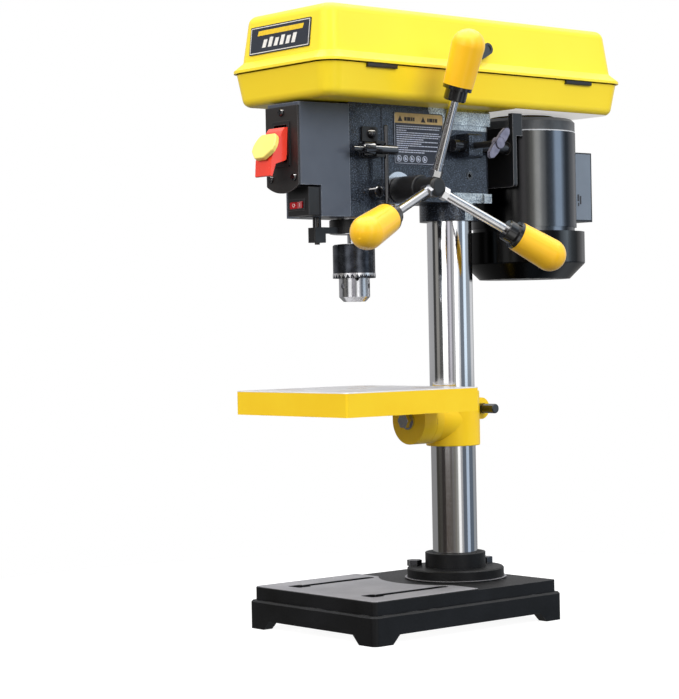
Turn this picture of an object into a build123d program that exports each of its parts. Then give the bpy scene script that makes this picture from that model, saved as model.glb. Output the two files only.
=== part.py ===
from build123d import *
import os
from math import cos, pi, radians, sin, tan

os.makedirs("parts", exist_ok=True)

# Bench drill press, in millimetres. The origin is the centre of the base's footprint, on the floor.
# +Z is up, the operator stands on the -Y side, and the feed handles are on the +X side.

# Base
BASE_W = 183.0
BASE_D = 242.0
BASE_TOP = 40.0
BASE_STEP_Z = 27.0
BASE_INSET = 3.8
BASE_WALL = 7.0
FOOT_LENGTH = 22.0
FOOT_GAP = 8.5
PAD_REAR_Y = 12.0
PAD_ARC_R = 76.0
REAR_DROP = 1.6
SLOT_X = 53.0
SLOT_W = 11.0
SLOT_FRONT_Y = -97.0
SLOT_REAR_Y = 4.0
SLOT_MOUTH_W = 19.0
SLOT_MOUTH_L = 16.0

# Column and its flange
COLUMN_Y = 66.0
COLUMN_R = 22.0
COLUMN_BORE_R = 18.5
COLUMN_TOP = 478.0
FLANGE_R = 47.5
FLANGE_T = 9.5
FLANGE_BOSS_R = 29.7
FLANGE_BOSS_TOP = 64.0
FLANGE_BOLT_R = 41.0
FLANGE_BOLT_ANGLES = (90.0, 152.0, 217.0)

# Table and its bracket
TABLE_W = 161.5
TABLE_D = 163.5
TABLE_Y = -57.6
TABLE_TOP = 228.3
TABLE_SKIRT = 22.6
TABLE_PLATE = 7.0
TABLE_WALL = 5.0
TABLE_BORE_R = 10.0
TABLE_SLOT_X = 44.0
TABLE_SLOT_Y = 46.0
TABLE_SLOT_L = 40.0
TABLE_SLOT_W = 9.0
TILT_Z = 195.2
LUG_R = 23.2
LUG_FRONT_Y = 7.5
TILT_BOLT_R = 5.0
RING_R = 26.5
RING_BOTTOM = 168.7
RING_TOP = 222.0
EAR_Z = 203.8
EAR_Y = COLUMN_Y + 30.5

# Head
HEAD_HALF = 29.0
HEAD_PAD_HALF = 30.0
HEAD_FRONT = -86.0
HEAD_PAD_FRONT = -47.0
HEAD_REAR = 95.0
HEAD_BOTTOM = 405.0
HEAD_TOP = 495.0
NECK_BOTTOM = 389.0
HEAD_NECK_R = 29.0
GUIDE_Z = 411.9
CLAMP_SCREW_Z = 431.5

# Front cover and switch plate
COVER_FRONT = -141.0
COVER_FRONT_HALF = 23.3
COVER_TOP = 493.0
COVER_WALL = 2.0
NOTCH_REAR = -118.0
NOTCH_TOP = 417.6
PLATE_T = 1.8
PLATE_TOP = 490.0
PLATE_CORNER_Z = 417.6
PLATE_BOTTOM = 410.4
PADDLE_HALF = 11.6
KEY_CENTRE_Z = 451.2
KEY_STEM_R = 5.0
KEY_KNOB_T = 4.2
KEY_KNOB_SIDE = ((9.5, 12.8), (13.0, 9.4), (15.2, 4.4), (15.8, 0), (15.0, -4.6), (11.0, -8.6), (6.0, -12.8))
KEY_LEAN = 28.0
PLATE_SCREWS = ((0.0, 484.5), (17.0, 424.3), (-17.0, 424.3))
DEPTH_ROD_Y = -102.8

# Quill, spindle and chuck
SPINDLE_Y = -58.2
QUILL_R = 20.0
QUILL_BOTTOM = 374.0
QUILL_TOP = 466.0
RUN = 0.04
BEARING_R = 14.0
BEARING_BORE_R = 6.0
BEARING_H = 8.0
SPINDLE_TOP = 568.0
SPLINE_R = 7.5
CHUCK_TOP = 364.8
CHUCK_BOTTOM = 310.6
SLEEVE_R = 20.0
NOSE_R = 14.65
JAW_TILT = 15.0
JAW_R = 3.1
JAW_OPEN = 3.4
JAW_LENGTH = 18.5

# Rack and pinion feed
MODULE = 1.5
PINION_TEETH = 16
PRESSURE = 20.0
ADDENDUM = 0.8 * MODULE
DEDENDUM = 1.05 * MODULE
BACKLASH = 0.16
PINION_Y = -28.1
PINION_Z = 414.5
PINION_HALF = 11.0
FEED_SHAFT_R = 8.0
HUB_START = 33.0
HUB_STEP = 64.0
HUB_END = 87.5
HUB_R = 12.6
HUB_TIP_R = 9.6
ROD_ROOT_X = 78.5
ROD_CONE = 18.5
ROD_ANGLES = (86.5, 201.0, 330.0)
ROD_START = 5.0
ROD_R = 4.4
NUT_START = 10.6
NUT_T = 5.5
GRIP_START = 96.0
GRIP_END = 149.0
GRIP_R = 15.6
GRIP_ROOT_R = 14.0

# Belt cover
BOX_W = 150.0
BOX_FRONT = -149.4
BOX_REAR = 244.9
BOX_Y = (BOX_FRONT + BOX_REAR) / 2
BOX_D = BOX_REAR - BOX_FRONT
BOX_CORNER = 20.0
TRAY_BOTTOM = 495.0
TRAY_TOP = 525.2
LID_BOTTOM = 526.2
LIP_TOP = 528.6
FLARE_TOP = 536.0
LID_TOP = 580.0
SHELL = 2.4
TRAY_HOLE_R = 32.0
BUMPER_BOTTOM = 521.8
BUMPER_TOP = 525.8
BUMPER_SPANS = ((-101.0, -65.0), (158.0, 194.0))
HINGE_X = -78.5
HINGE_Z = 526.2
HINGE_YS = (-72.0, 168.0)
HINGE_L = 44.0
LATCH_Y = 53.0
LATCH_Z = 548.0
LATCH_ANGLE = 42.0
WALL_LEAN = 7.13

# Pulleys and belt: five steps, the belt on the middle one
STEP_H = 12.0
PULLEY_BOTTOM = 504.0
PULLEY_HUB_R = 12.0
SPINDLE_STEPS = (50.0, 44.0, 38.0, 32.0, 26.0)
MOTOR_STEPS = (24.0, 30.0, 36.0, 42.0, 48.0)
GROOVE_HALF = 5.3
GROOVE_DEPTH = 8.0
BELT_STEP = 2
BELT_T = 6.0
BELT_HALF = 4.5

# Motor and its carriage
MOTOR_Y = 170.0
MOTOR_R = 53.5
MOTOR_BOTTOM = 378.5
MOTOR_BODY_BOTTOM = 383.0
MOTOR_TOP = 478.0
MOTOR_CAP_TOP = 491.5
FAN_COVER_R = 61.2
FAN_COVER_BOTTOM = 331.5
SHAFT_R = 7.0
SLIDE_ROD_X = 38.5
SLIDE_ROD_Z = 459.0
SLIDE_ROD_R = 6.0
MOUNT_FRONT = 109.0
MOUNT_REAR = 114.0
WING_Y = 58.0
WING_X = 76.0
WING_TURN = 48.0

# Chuck key
KEY_X = 40.5
KEY_Z = 451.0


def box(x0, x1, y0, y1, z0, z1):
    """A block between two corners."""
    centre = Location(((x0 + x1) / 2, (y0 + y1) / 2, (z0 + z1) / 2))
    return centre * Box(x1 - x0, y1 - y0, z1 - z0)


def rod_z(x, y, r, z0, z1):
    """A cylinder along Z."""
    return Pos(x, y, (z0 + z1) / 2) * Cylinder(r, z1 - z0)


def rod_x(y, z, r, x0, x1):
    """A cylinder along X."""
    return Pos((x0 + x1) / 2, y, z) * Rot(0, 90, 0) * Cylinder(r, x1 - x0)


def rod_y(x, z, r, y0, y1):
    """A cylinder along Y."""
    return Pos(x, (y0 + y1) / 2, z) * Rot(90, 0, 0) * Cylinder(r, y1 - y0)


def tube_z(x, y, r, bore, z0, z1):
    """A tube along Z."""
    return rod_z(x, y, r, z0, z1) - rod_z(x, y, bore, z0 - 1, z1 + 1)


def hexagon(across_flats, height):
    """A hexagonal prism standing on the XY plane."""
    return extrude(RegularPolygon(across_flats / 2, 6, major_radius=False), height)


def rounded_block(w, d, r, z0, z1):
    """An upright block with rounded vertical edges, centred on the Z axis."""
    return extrude(Pos(0, 0, z0) * RectangleRounded(w, d, r), z1 - z0)


def drafted(w0, d0, r0, z0, w1, d1, r1, z1):
    """A block whose rounded outline changes from the lower one to the upper one."""
    low = Pos(0, BOX_Y, z0) * RectangleRounded(w0, d0, r0)
    high = Pos(0, BOX_Y, z1) * RectangleRounded(w1, d1, r1)
    return loft([low, high])


def save(shape, name):
    """Writes one node. Several separate solids stay a group in that node."""
    solids = shape.solids()
    whole = solids[0] if len(solids) == 1 else Compound(list(solids))
    whole.label = name
    export_step(whole, "parts/" + name + ".step")


def on_circle(r, degrees):
    """The point at that angle on a circle about the origin."""
    return r * cos(radians(degrees)), r * sin(radians(degrees))


# ---------------------------------------------------------------- base and column


def foot_cut(length, depth):
    """The trapezium cut between two feet, along X, through the whole depth."""
    half = length / 2 - FOOT_LENGTH
    outline = Polyline(
        (-half, -1), (half, -1), (half, 0), (half - FOOT_GAP, FOOT_GAP),
        (-half + FOOT_GAP, FOOT_GAP), (-half, 0), close=True,
    )
    profile = Plane.XZ * make_face(outline)
    return extrude(profile, depth, both=True)


def keyhole_slot(x):
    """A narrow slot that ends in a wide mouth at the front, through the top plate."""
    narrow = box(x - SLOT_W / 2, x + SLOT_W / 2, SLOT_FRONT_Y + 1, SLOT_REAR_Y - SLOT_W / 2, 20, 50)
    end = rod_z(x, SLOT_REAR_Y - SLOT_W / 2, SLOT_W / 2, 20, 50)
    mouth = rounded_block(SLOT_MOUTH_W, SLOT_MOUTH_L, 3, 20, 50)
    return narrow + end + Pos(x, SLOT_FRONT_Y + SLOT_MOUTH_L / 2, 0) * mouth


def make_base():
    skirt = rounded_block(BASE_W, BASE_D, 6, 0, BASE_STEP_Z)
    skirt = chamfer(skirt.faces().sort_by(Axis.Z)[-1].edges(), 1.6)
    upper = rounded_block(BASE_W - 2 * BASE_INSET, BASE_D - 2 * BASE_INSET, 5, BASE_STEP_Z, BASE_TOP)
    upper = chamfer(upper.faces().sort_by(Axis.Z)[-1].edges(), 0.9)
    rear = box(-BASE_W, BASE_W, PAD_REAR_Y, BASE_D, BASE_TOP - REAR_DROP, BASE_TOP + 1)
    arc = rod_z(0, COLUMN_Y, PAD_ARC_R, BASE_TOP - REAR_DROP, BASE_TOP + 1)
    seat = rod_z(0, COLUMN_Y, FLANGE_R + 2.5, BASE_TOP - REAR_DROP - 1, BASE_TOP)
    base = skirt + upper - rear - arc + seat
    inner_w = BASE_W - 2 * BASE_INSET - 2 * BASE_WALL
    inner_d = BASE_D - 2 * BASE_INSET - 2 * BASE_WALL
    base -= rounded_block(inner_w, inner_d, 4, -1, BASE_TOP - BASE_WALL)
    base -= foot_cut(BASE_W, BASE_D) + Rot(0, 0, 90) * foot_cut(BASE_D, BASE_W)
    for x in (-SLOT_X, SLOT_X):
        base -= keyhole_slot(x)
    for angle in FLANGE_BOLT_ANGLES:
        dx, dy = on_circle(FLANGE_BOLT_R, angle)
        base -= rod_z(dx, COLUMN_Y + dy, 4, 20, 50)
    return base


def make_column_flange():
    disc = rod_z(0, COLUMN_Y, FLANGE_R, BASE_TOP, BASE_TOP + FLANGE_T)
    disc = chamfer(disc.edges().sort_by(Axis.Z)[-1:], 1.2)
    boss = rod_z(0, COLUMN_Y, FLANGE_BOSS_R, BASE_TOP + FLANGE_T - 1, FLANGE_BOSS_TOP)
    boss = fillet(boss.edges().sort_by(Axis.Z)[-1:], 0.8)
    flange = disc + boss - rod_z(0, COLUMN_Y, COLUMN_R, BASE_TOP + 2, FLANGE_BOSS_TOP + 1)
    flange -= rod_z(0, COLUMN_Y, COLUMN_BORE_R, BASE_TOP - 1, FLANGE_BOSS_TOP)
    bevel = Cone(COLUMN_R, COLUMN_R + 5.4, 3.6)
    flange -= Pos(0, COLUMN_Y, FLANGE_BOSS_TOP - 1.8) * bevel
    for angle in FLANGE_BOLT_ANGLES:
        dx, dy = on_circle(FLANGE_BOLT_R, angle)
        flange -= rod_z(dx, COLUMN_Y + dy, 4, BASE_TOP - 1, 60)
    return flange


def make_flange_bolts():
    bolts = []
    for angle in FLANGE_BOLT_ANGLES:
        dx, dy = on_circle(FLANGE_BOLT_R, angle)
        head = Pos(dx, COLUMN_Y + dy, BASE_TOP + FLANGE_T) * Rot(0, 0, angle) * hexagon(13, 6)
        bolts.append(head + rod_z(dx, COLUMN_Y + dy, 4, 28, BASE_TOP + FLANGE_T))
    return Compound(bolts)


def make_column():
    return tube_z(0, COLUMN_Y, COLUMN_R, COLUMN_BORE_R, BASE_TOP + 2, COLUMN_TOP)


# ---------------------------------------------------------------- table and bracket


def make_table():
    block = rounded_block(TABLE_W, TABLE_D, 2.5, TABLE_TOP - TABLE_SKIRT, TABLE_TOP)
    block = chamfer(block.faces().sort_by(Axis.Z)[-1].edges(), 0.8)
    inner_w = TABLE_W - 2 * TABLE_WALL
    inner_d = TABLE_D - 2 * TABLE_WALL
    block -= rounded_block(inner_w, inner_d, 3, TABLE_TOP - TABLE_SKIRT - 1, TABLE_TOP - TABLE_PLATE)
    block -= rod_z(0, 0, TABLE_BORE_R, 190, 240)
    for x in (-TABLE_SLOT_X, TABLE_SLOT_X):
        for y in (-TABLE_SLOT_Y, TABLE_SLOT_Y):
            slot = Pos(x, y, 215) * SlotOverall(TABLE_SLOT_L, TABLE_SLOT_W)
            block -= extrude(slot, 20)
    table = Pos(0, TABLE_Y, 0) * block
    rear = TABLE_Y + TABLE_D / 2
    lug = rod_y(0, TILT_Z, LUG_R, LUG_FRONT_Y, rear)
    web = box(-LUG_R, LUG_R, LUG_FRONT_Y, rear, TILT_Z, TABLE_TOP - 2)
    table += lug + web
    return table - rod_y(0, TILT_Z, TILT_BOLT_R + 0.06, 0, 60)


def make_table_bracket():
    rear_face = TABLE_Y + TABLE_D / 2 + 0.35
    ring = rod_z(0, COLUMN_Y, RING_R, RING_BOTTOM, RING_TOP)
    ring = fillet(ring.edges().filter_by(GeomType.CIRCLE), 1.0)
    disc = rod_y(0, TILT_Z, LUG_R, rear_face, rear_face + 9)
    arm = loft([
        Plane.XZ.offset(-(rear_face + 8)) * Pos(0, TILT_Z) * Ellipse(20.5, 20.5),
        Plane.XZ.offset(-(COLUMN_Y - 4)) * Pos(0, TILT_Z - 1) * Ellipse(25.5, 24.5),
    ])
    ear = box(-8, 8, COLUMN_Y + 20, COLUMN_Y + 32, EAR_Z - 10.7, EAR_Z + 10.7)
    ear += Pos(0, COLUMN_Y + 32, EAR_Z) * Rot(0, 90, 0) * Cylinder(10.7, 16)
    bracket = ring + disc + arm + ear
    bracket -= rod_z(0, COLUMN_Y, COLUMN_R + 0.05, 150, 240)
    bracket -= box(-1.2, 1.2, COLUMN_Y + 15, COLUMN_Y + 45, RING_BOTTOM - 1, RING_TOP + 1)
    bracket -= rod_x(EAR_Y, EAR_Z, 3.05, -12, 12)
    return bracket - rod_y(0, TILT_Z, TILT_BOLT_R + 0.06, 0, COLUMN_Y - COLUMN_R - 1.5)


def make_tilt_bolt():
    flange = rod_y(0, TILT_Z, 8.6, LUG_FRONT_Y - 2.0, LUG_FRONT_Y - 0.1)
    head = Pos(0, LUG_FRONT_Y - 1.9, TILT_Z) * Rot(90, 0, 0) * hexagon(13, 5.8)
    head = head & Pos(0, LUG_FRONT_Y - 2.6, TILT_Z) * Sphere(8.8)
    shank = rod_y(0, TILT_Z, TILT_BOLT_R, LUG_FRONT_Y - 1, COLUMN_Y - COLUMN_R - 3)
    return flange + head + shank


def make_table_lock():
    shank = rod_x(EAR_Y, EAR_Z, 3.0, -11.5, 10)
    collar = rod_x(EAR_Y, EAR_Z, 5.2, 8.3, 13)
    handle = rod_x(EAR_Y, EAR_Z, 4.7, 12, 29.5)
    handle = fillet(handle.edges().sort_by(Axis.X)[-1:], 1.2)
    return shank + collar + handle


# ---------------------------------------------------------------- head casting


def neck_outline(extra=0.0):
    """The quill housing in plan: straight at the front, round behind the quill."""
    r = HEAD_HALF + extra
    front = Pos(0, (HEAD_FRONT + SPINDLE_Y) / 2) * Rectangle(2 * r, SPINDLE_Y - HEAD_FRONT)
    return front + Pos(0, SPINDLE_Y) * Circle(r)


def rod_boss(side):
    """The lug on one side of the head that a motor slide rod runs through."""
    outer = side * (SLIDE_ROD_X + 9.5)
    x0, x1 = sorted((side * (HEAD_HALF - 1), outer))
    boss = box(x0, x1, WING_Y - 9, WING_Y + 9, SLIDE_ROD_Z - 11.5, SLIDE_ROD_Z + 11.5)
    return fillet(boss.edges().filter_by(Axis.Y), 3)


def make_head_casting():
    body = box(-HEAD_HALF, HEAD_HALF, HEAD_FRONT, HEAD_REAR, HEAD_BOTTOM, HEAD_TOP)
    body = fillet(body.edges().filter_by(Axis.Z).group_by(Axis.Y)[-1], 5)
    pads = box(-HEAD_PAD_HALF, HEAD_PAD_HALF, HEAD_PAD_FRONT, 84, HEAD_BOTTOM + 3, HEAD_TOP - 4)
    pads = chamfer(pads.edges().filter_by(Axis.Z), 0.8)
    flange = box(-31.5, 31.5, 36, HEAD_REAR - 1, 480, HEAD_TOP)
    flange = chamfer(flange.edges().filter_by(Axis.Y).group_by(Axis.Z)[-1], 2.5)
    corner = box(-31.8, 31.8, 84, HEAD_REAR - 1, HEAD_BOTTOM, 414)
    neck = extrude(Pos(0, 0, NECK_BOTTOM) * neck_outline(), 20)
    neck = neck & box(-60, 60, HEAD_FRONT, 0, 380, 420)
    collar = rod_z(0, COLUMN_Y, HEAD_NECK_R, 388, HEAD_BOTTOM + 1)
    head = body + pads + flange + corner + neck + collar + rod_boss(1) + rod_boss(-1)
    head -= rod_z(0, COLUMN_Y, COLUMN_R, 380, COLUMN_TOP)
    head -= rod_z(0, COLUMN_Y, 16, 380, 500)
    head -= rod_z(0, SPINDLE_Y, QUILL_R + RUN, 380, QUILL_TOP + 4)
    head -= rod_z(0, SPINDLE_Y, PULLEY_HUB_R + RUN, 460, 500)
    head -= box(-22, 22, -6, 36, HEAD_BOTTOM + 8, HEAD_TOP + 1)
    head -= rod_x(PINION_Y, PINION_Z, 14.2, -PINION_HALF - 1, HEAD_PAD_HALF + 1)
    head -= rod_x(PINION_Y, PINION_Z, FEED_SHAFT_R + RUN, -40, 0)
    for side in (-1, 1):
        head -= rod_y(side * SLIDE_ROD_X, SLIDE_ROD_Z, SLIDE_ROD_R + 0.05, 30, 75)
        head -= rod_x(COLUMN_Y, CLAMP_SCREW_Z, 4, min(side * 20, side * 40), max(side * 20, side * 40))
    head -= rod_x(WING_Y, SLIDE_ROD_Z, 3.05, SLIDE_ROD_X, 60)
    head -= rod_x(SPINDLE_Y, GUIDE_Z, 4, 15, 40)
    return head - rod_x(-61, 466.4, 2.5, 24, 31.3)


def make_set_screws():
    screws = []
    for side in (-1, 1):
        x0, x1 = sorted((side * 22.0, side * 30.4))
        screw = rod_x(COLUMN_Y, CLAMP_SCREW_Z, 4, x0, x1)
        socket = Pos(side * 27.5, COLUMN_Y, CLAMP_SCREW_Z) * Rot(0, side * 90, 0) * hexagon(4, 5)
        screws.append(screw - socket)
    return Compound(screws)


def make_quill_guide_screw():
    tip = rod_x(SPINDLE_Y, GUIDE_Z, 3.0, 17.2, 21)
    shank = rod_x(SPINDLE_Y, GUIDE_Z, 4, 20.6, HEAD_HALF + 1)
    head = rod_x(SPINDLE_Y, GUIDE_Z, 5.5, HEAD_HALF, HEAD_HALF + 9.5)
    head = chamfer(head.edges().sort_by(Axis.X)[-1:], 0.8)
    socket = Pos(HEAD_HALF + 5.5, SPINDLE_Y, GUIDE_Z) * Rot(0, 90, 0) * hexagon(5, 6)
    return tip + shank + head - socket


def make_key_holder():
    plate = box(HEAD_HALF, 31.2, -72, -52.5, 443.5, 473)
    plate = fillet(plate.edges().filter_by(Axis.X), 2.5)
    arms = box(30, 46, -67.5, -57.5, 443.8, 458.2)
    arms = arms - box(33.4, 50, -70, -50, 446.2, 455.8)
    return plate + arms - rod_x(-61, 466.4, 2.5, 20, 40)


def make_key_holder_screw():
    head = Pos(31.2, -61, 466.4) * Sphere(4.6) & box(31.2, 40, -70, -50, 460, 475)
    return head + rod_x(-61, 466.4, 2.5, 24, 31.3)


def make_warning_plate():
    plate = box(HEAD_PAD_HALF, HEAD_PAD_HALF + 0.5, -32, 32, 439.5, 489)
    return fillet(plate.edges().filter_by(Axis.X), 3)


# ---------------------------------------------------------------- front cover and switches


def cover_plan(shrink, rear):
    """The front cover in plan: narrow at the front, as wide as the head at the back."""
    slope = (HEAD_HALF - COVER_FRONT_HALF) / (HEAD_FRONT - COVER_FRONT)
    front = COVER_FRONT + shrink
    front_half = COVER_FRONT_HALF - shrink + slope * shrink
    rear_half = HEAD_HALF - shrink + slope * (rear - HEAD_FRONT)
    return make_face(Polyline(
        (-front_half, front), (front_half, front), (rear_half, rear), (-rear_half, rear), close=True,
    ))


def make_front_cover():
    shell = extrude(Pos(0, 0, NECK_BOTTOM) * cover_plan(0, HEAD_FRONT), COVER_TOP - NECK_BOTTOM)
    shell -= box(-40, 40, COVER_FRONT - 5, NOTCH_REAR, 380, NOTCH_TOP)
    upright = shell.edges().filter_by(Axis.Z).group_by(Axis.Y)[0]
    shell = fillet(upright, 2.5)
    height = COVER_TOP - NECK_BOTTOM - 2 * COVER_WALL
    inner = extrude(Pos(0, 0, NECK_BOTTOM + COVER_WALL) * cover_plan(COVER_WALL, HEAD_FRONT + 2), height)
    inner -= box(-40, 40, COVER_FRONT - 5, NOTCH_REAR + COVER_WALL, 380, NOTCH_TOP + COVER_WALL)
    shell -= inner
    shell -= rod_z(0, DEPTH_ROD_Y, 4.6, 380, 400)
    shell -= box(-11.5, 11.5, COVER_FRONT - 3, COVER_FRONT + 4, 436.5, 475)
    for x, z in PLATE_SCREWS:
        shell -= rod_y(x, z, 1.6, COVER_FRONT - 2, COVER_FRONT + 4)
    return shell


def make_switch_plate():
    sag = PLATE_CORNER_Z - PLATE_BOTTOM
    outline = Polyline(
        (-COVER_FRONT_HALF, PLATE_CORNER_Z), (-COVER_FRONT_HALF, PLATE_TOP),
        (COVER_FRONT_HALF, PLATE_TOP), (COVER_FRONT_HALF, PLATE_CORNER_Z),
    )
    bottom = ThreePointArc(
        (COVER_FRONT_HALF, PLATE_CORNER_Z), (0, PLATE_CORNER_Z - sag), (-COVER_FRONT_HALF, PLATE_CORNER_Z)
    )
    face = make_face(outline.edges() + [bottom])
    plate = extrude(Plane.XZ.offset(-COVER_FRONT) * face, PLATE_T)
    plate -= box(-11.5, 11.5, COVER_FRONT - 5, COVER_FRONT + 4, 436.5, 475)
    for x, z in PLATE_SCREWS:
        plate -= rod_y(x, z, 1.6, COVER_FRONT - 4, COVER_FRONT + 4)
    return plate


def make_plate_screws():
    screws = []
    face = COVER_FRONT - PLATE_T
    for x, z in PLATE_SCREWS:
        head = Pos(x, face, z) * Sphere(3.6) & box(x - 5, x + 5, face - 2.2, face, z - 5, z + 5)
        head -= box(x - 3, x + 3, face - 3, face - 1.5, z - 0.5, z + 0.5)
        head -= box(x - 0.5, x + 0.5, face - 3, face - 1.5, z - 3, z + 3)
        screws.append(head + rod_y(x, z, 1.6, face, COVER_FRONT + 7))
    return Compound(screws)


def make_switch_housing():
    face = COVER_FRONT - PLATE_T
    rim = box(-12.2, 12.2, face - 1.6, face, 434.8, 476.5)
    rim = fillet(rim.edges().filter_by(Axis.Y), 2)
    body = box(-11.4, 11.4, face, COVER_FRONT + 20, 436.6, 474.9)
    return rim + body - box(-9.6, 9.6, face - 4, face + 9, 438.5, 473)


def make_switch_paddle():
    face = COVER_FRONT - PLATE_T
    outer = make_face(Polyline(
        (face - 2.1, 470.4), (face - 5.7, 470), (face - 8.6, 466.6), (face - 17.4, 451.2),
        (face - 21.8, 440), (face - 22.8, 425.4), (face - 21.0, 425), (face - 16.8, 436.4),
        (face - 6.4, 439.6), (face - 4.4, 440.8), close=True,
    ))
    flap = extrude(Plane.YZ * outer, PADDLE_HALF, both=True)
    flap = fillet(flap.edges().filter_by(Axis.X).group_by(Axis.Y)[0], 0.8)
    neck = box(-9.2, 9.2, face - 5, face + 6, 445, 469.4)
    return flap + neck - rod_y(0, KEY_CENTRE_Z, KEY_STEM_R + 0.06, face - 40, face - 5)


def make_safety_key():
    face = COVER_FRONT - PLATE_T
    left = [(-x, z) for x, z in reversed(KEY_KNOB_SIDE)]
    slab = extrude(Plane.XZ * make_face(Polyline(*KEY_KNOB_SIDE, *left, close=True)), KEY_KNOB_T)
    slab = fillet(slab.edges().filter_by(Axis.Y), 2.5)
    slab = fillet(slab.faces().sort_by(Axis.Y)[0].edges(), 1.2)
    knob_frame = Pos(0, face - 18.1, KEY_CENTRE_Z) * Rot(-KEY_LEAN, 0, 0)
    stem = rod_y(0, KEY_CENTRE_Z, KEY_STEM_R, face - 26, face - 5.4)
    stem &= knob_frame * box(-20, 20, -3, 60, -30, 30)
    return stem + knob_frame * slab


def make_laser_switch_box():
    block = box(-6.5, 24, -131.8, NOTCH_REAR, 389.5, 416)
    block = fillet(block.edges().filter_by(Axis.Y), 1.2)
    rim = box(-4.6, 18.2, -132.6, -131, 394.4, 404.8)
    pocket = box(-3.2, 16.8, -140, -126, 396.2, 402.9)
    return block + rim - pocket


def make_laser_rocker():
    outline = make_face(Polyline(
        (-2.9, -132.4), (6.8, -131.2), (15.9, -133.6), (15.0, -127.6), (-1.6, -127.6), close=True,
    ))
    return extrude(Pos(0, 0, 396.5) * outline, 6.1)


# ---------------------------------------------------------------- quill, spindle and chuck


def rack_cutter():
    """The spaces between the rack's teeth, cut into the back of the quill."""
    pitch = pi * MODULE
    slope = tan(radians(PRESSURE))
    pitch_y = PINION_Y - PINION_TEETH * MODULE / 2
    tip_y = pitch_y + ADDENDUM
    root_y = pitch_y - DEDENDUM
    half = pitch / 4 + BACKLASH / 2
    wide = half + (tip_y + 4 - pitch_y) * slope
    narrow = half - (pitch_y - root_y) * slope
    cutter = None
    first = PINION_Z - 4 * pitch
    count = int((QUILL_TOP - first) / pitch) + 2
    for index in range(count):
        z = first + index * pitch
        space = make_face(Polyline(
            (tip_y + 4, z - wide), (tip_y + 4, z + wide), (root_y, z + narrow), (root_y, z - narrow), close=True,
        ))
        tool = extrude(Plane.YZ * space, PINION_HALF + 0.8, both=True)
        cutter = tool if cutter is None else cutter + tool
    flat = box(-PINION_HALF - 0.8, PINION_HALF + 0.8, tip_y, tip_y + 10, first - pitch, QUILL_TOP + 1)
    return cutter + flat


def make_quill():
    quill = tube_z(0, SPINDLE_Y, QUILL_R, 9.5, QUILL_BOTTOM, QUILL_TOP)
    quill -= rod_z(0, SPINDLE_Y, BEARING_R, QUILL_BOTTOM - 1, QUILL_BOTTOM + BEARING_H)
    quill -= rod_z(0, SPINDLE_Y, BEARING_R, QUILL_TOP - BEARING_H, QUILL_TOP + 1)
    quill -= rack_cutter()
    return quill - box(15.5, 25, SPINDLE_Y - 3.1, SPINDLE_Y + 3.1, 405, QUILL_TOP + 1)


def make_quill_bearings():
    bearings = []
    for z in (QUILL_BOTTOM, QUILL_TOP - BEARING_H):
        ring = tube_z(0, SPINDLE_Y, BEARING_R, BEARING_BORE_R + RUN, z, z + BEARING_H)
        groove = Pos(0, SPINDLE_Y, z + BEARING_H) * (Cylinder(11.6, 1.6) - Cylinder(8.8, 1.6))
        bearings.append(ring - groove)
    return Compound(bearings)


def make_depth_collar():
    ring = rod_z(0, SPINDLE_Y, 22.75, 374.5, 387.6)
    ring = fillet(ring.edges().filter_by(GeomType.CIRCLE), 0.8)
    arm = box(-5, 5, DEPTH_ROD_Y + 2, SPINDLE_Y - 18, 374.5, 380)
    block = box(-5, 5, DEPTH_ROD_Y - 7.2, DEPTH_ROD_Y + 7.0, 365.7, 379.6)
    block = fillet(block.edges().filter_by(Axis.Z), 1.2)
    collar = ring + arm + block
    collar -= rod_z(0, SPINDLE_Y, QUILL_R, 370, 400)
    return collar - rod_z(0, DEPTH_ROD_Y, 4, 360, 385)


def make_depth_rod():
    rod = rod_z(0, DEPTH_ROD_Y, 4, 365.7, 486)
    return rod + rod_z(0, DEPTH_ROD_Y, 2.4, 363.9, 366)


def make_depth_nuts():
    nuts = []
    for z in (442.2, 450.4):
        nut = Pos(0, DEPTH_ROD_Y, z) * hexagon(13, 6.5)
        nuts.append(nut - rod_z(0, DEPTH_ROD_Y, 4.05, 430, 470))
    return Compound(nuts)


def make_spindle():
    spindle = rod_z(0, SPINDLE_Y, BEARING_BORE_R, CHUCK_TOP - 2, QUILL_TOP + 1)
    spindle += Pos(0, SPINDLE_Y, CHUCK_TOP - 10) * Cone(6.6, 7.6, 20)
    spindle += rod_z(0, SPINDLE_Y, SPLINE_R, QUILL_TOP + 0.6, SPINDLE_TOP)
    for angle in range(0, 360, 60):
        groove = Pos(*on_circle(SPLINE_R, angle), 0) * Box(3, 3, 200)
        rotated = Pos(0, SPINDLE_Y, QUILL_TOP + 2 + 100) * groove
        spindle -= rotated
    return spindle


def jaw_axis(index):
    """The frame of one jaw: its local Z climbs outwards along the jaw's own axis."""
    centre_at_bottom = JAW_OPEN + JAW_R
    turn = Rot(0, 0, 90 + 120 * index)
    return Pos(0, SPINDLE_Y, CHUCK_BOTTOM + 1) * turn * Pos(centre_at_bottom, 0, 0) * Rot(0, JAW_TILT, 0)


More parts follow.
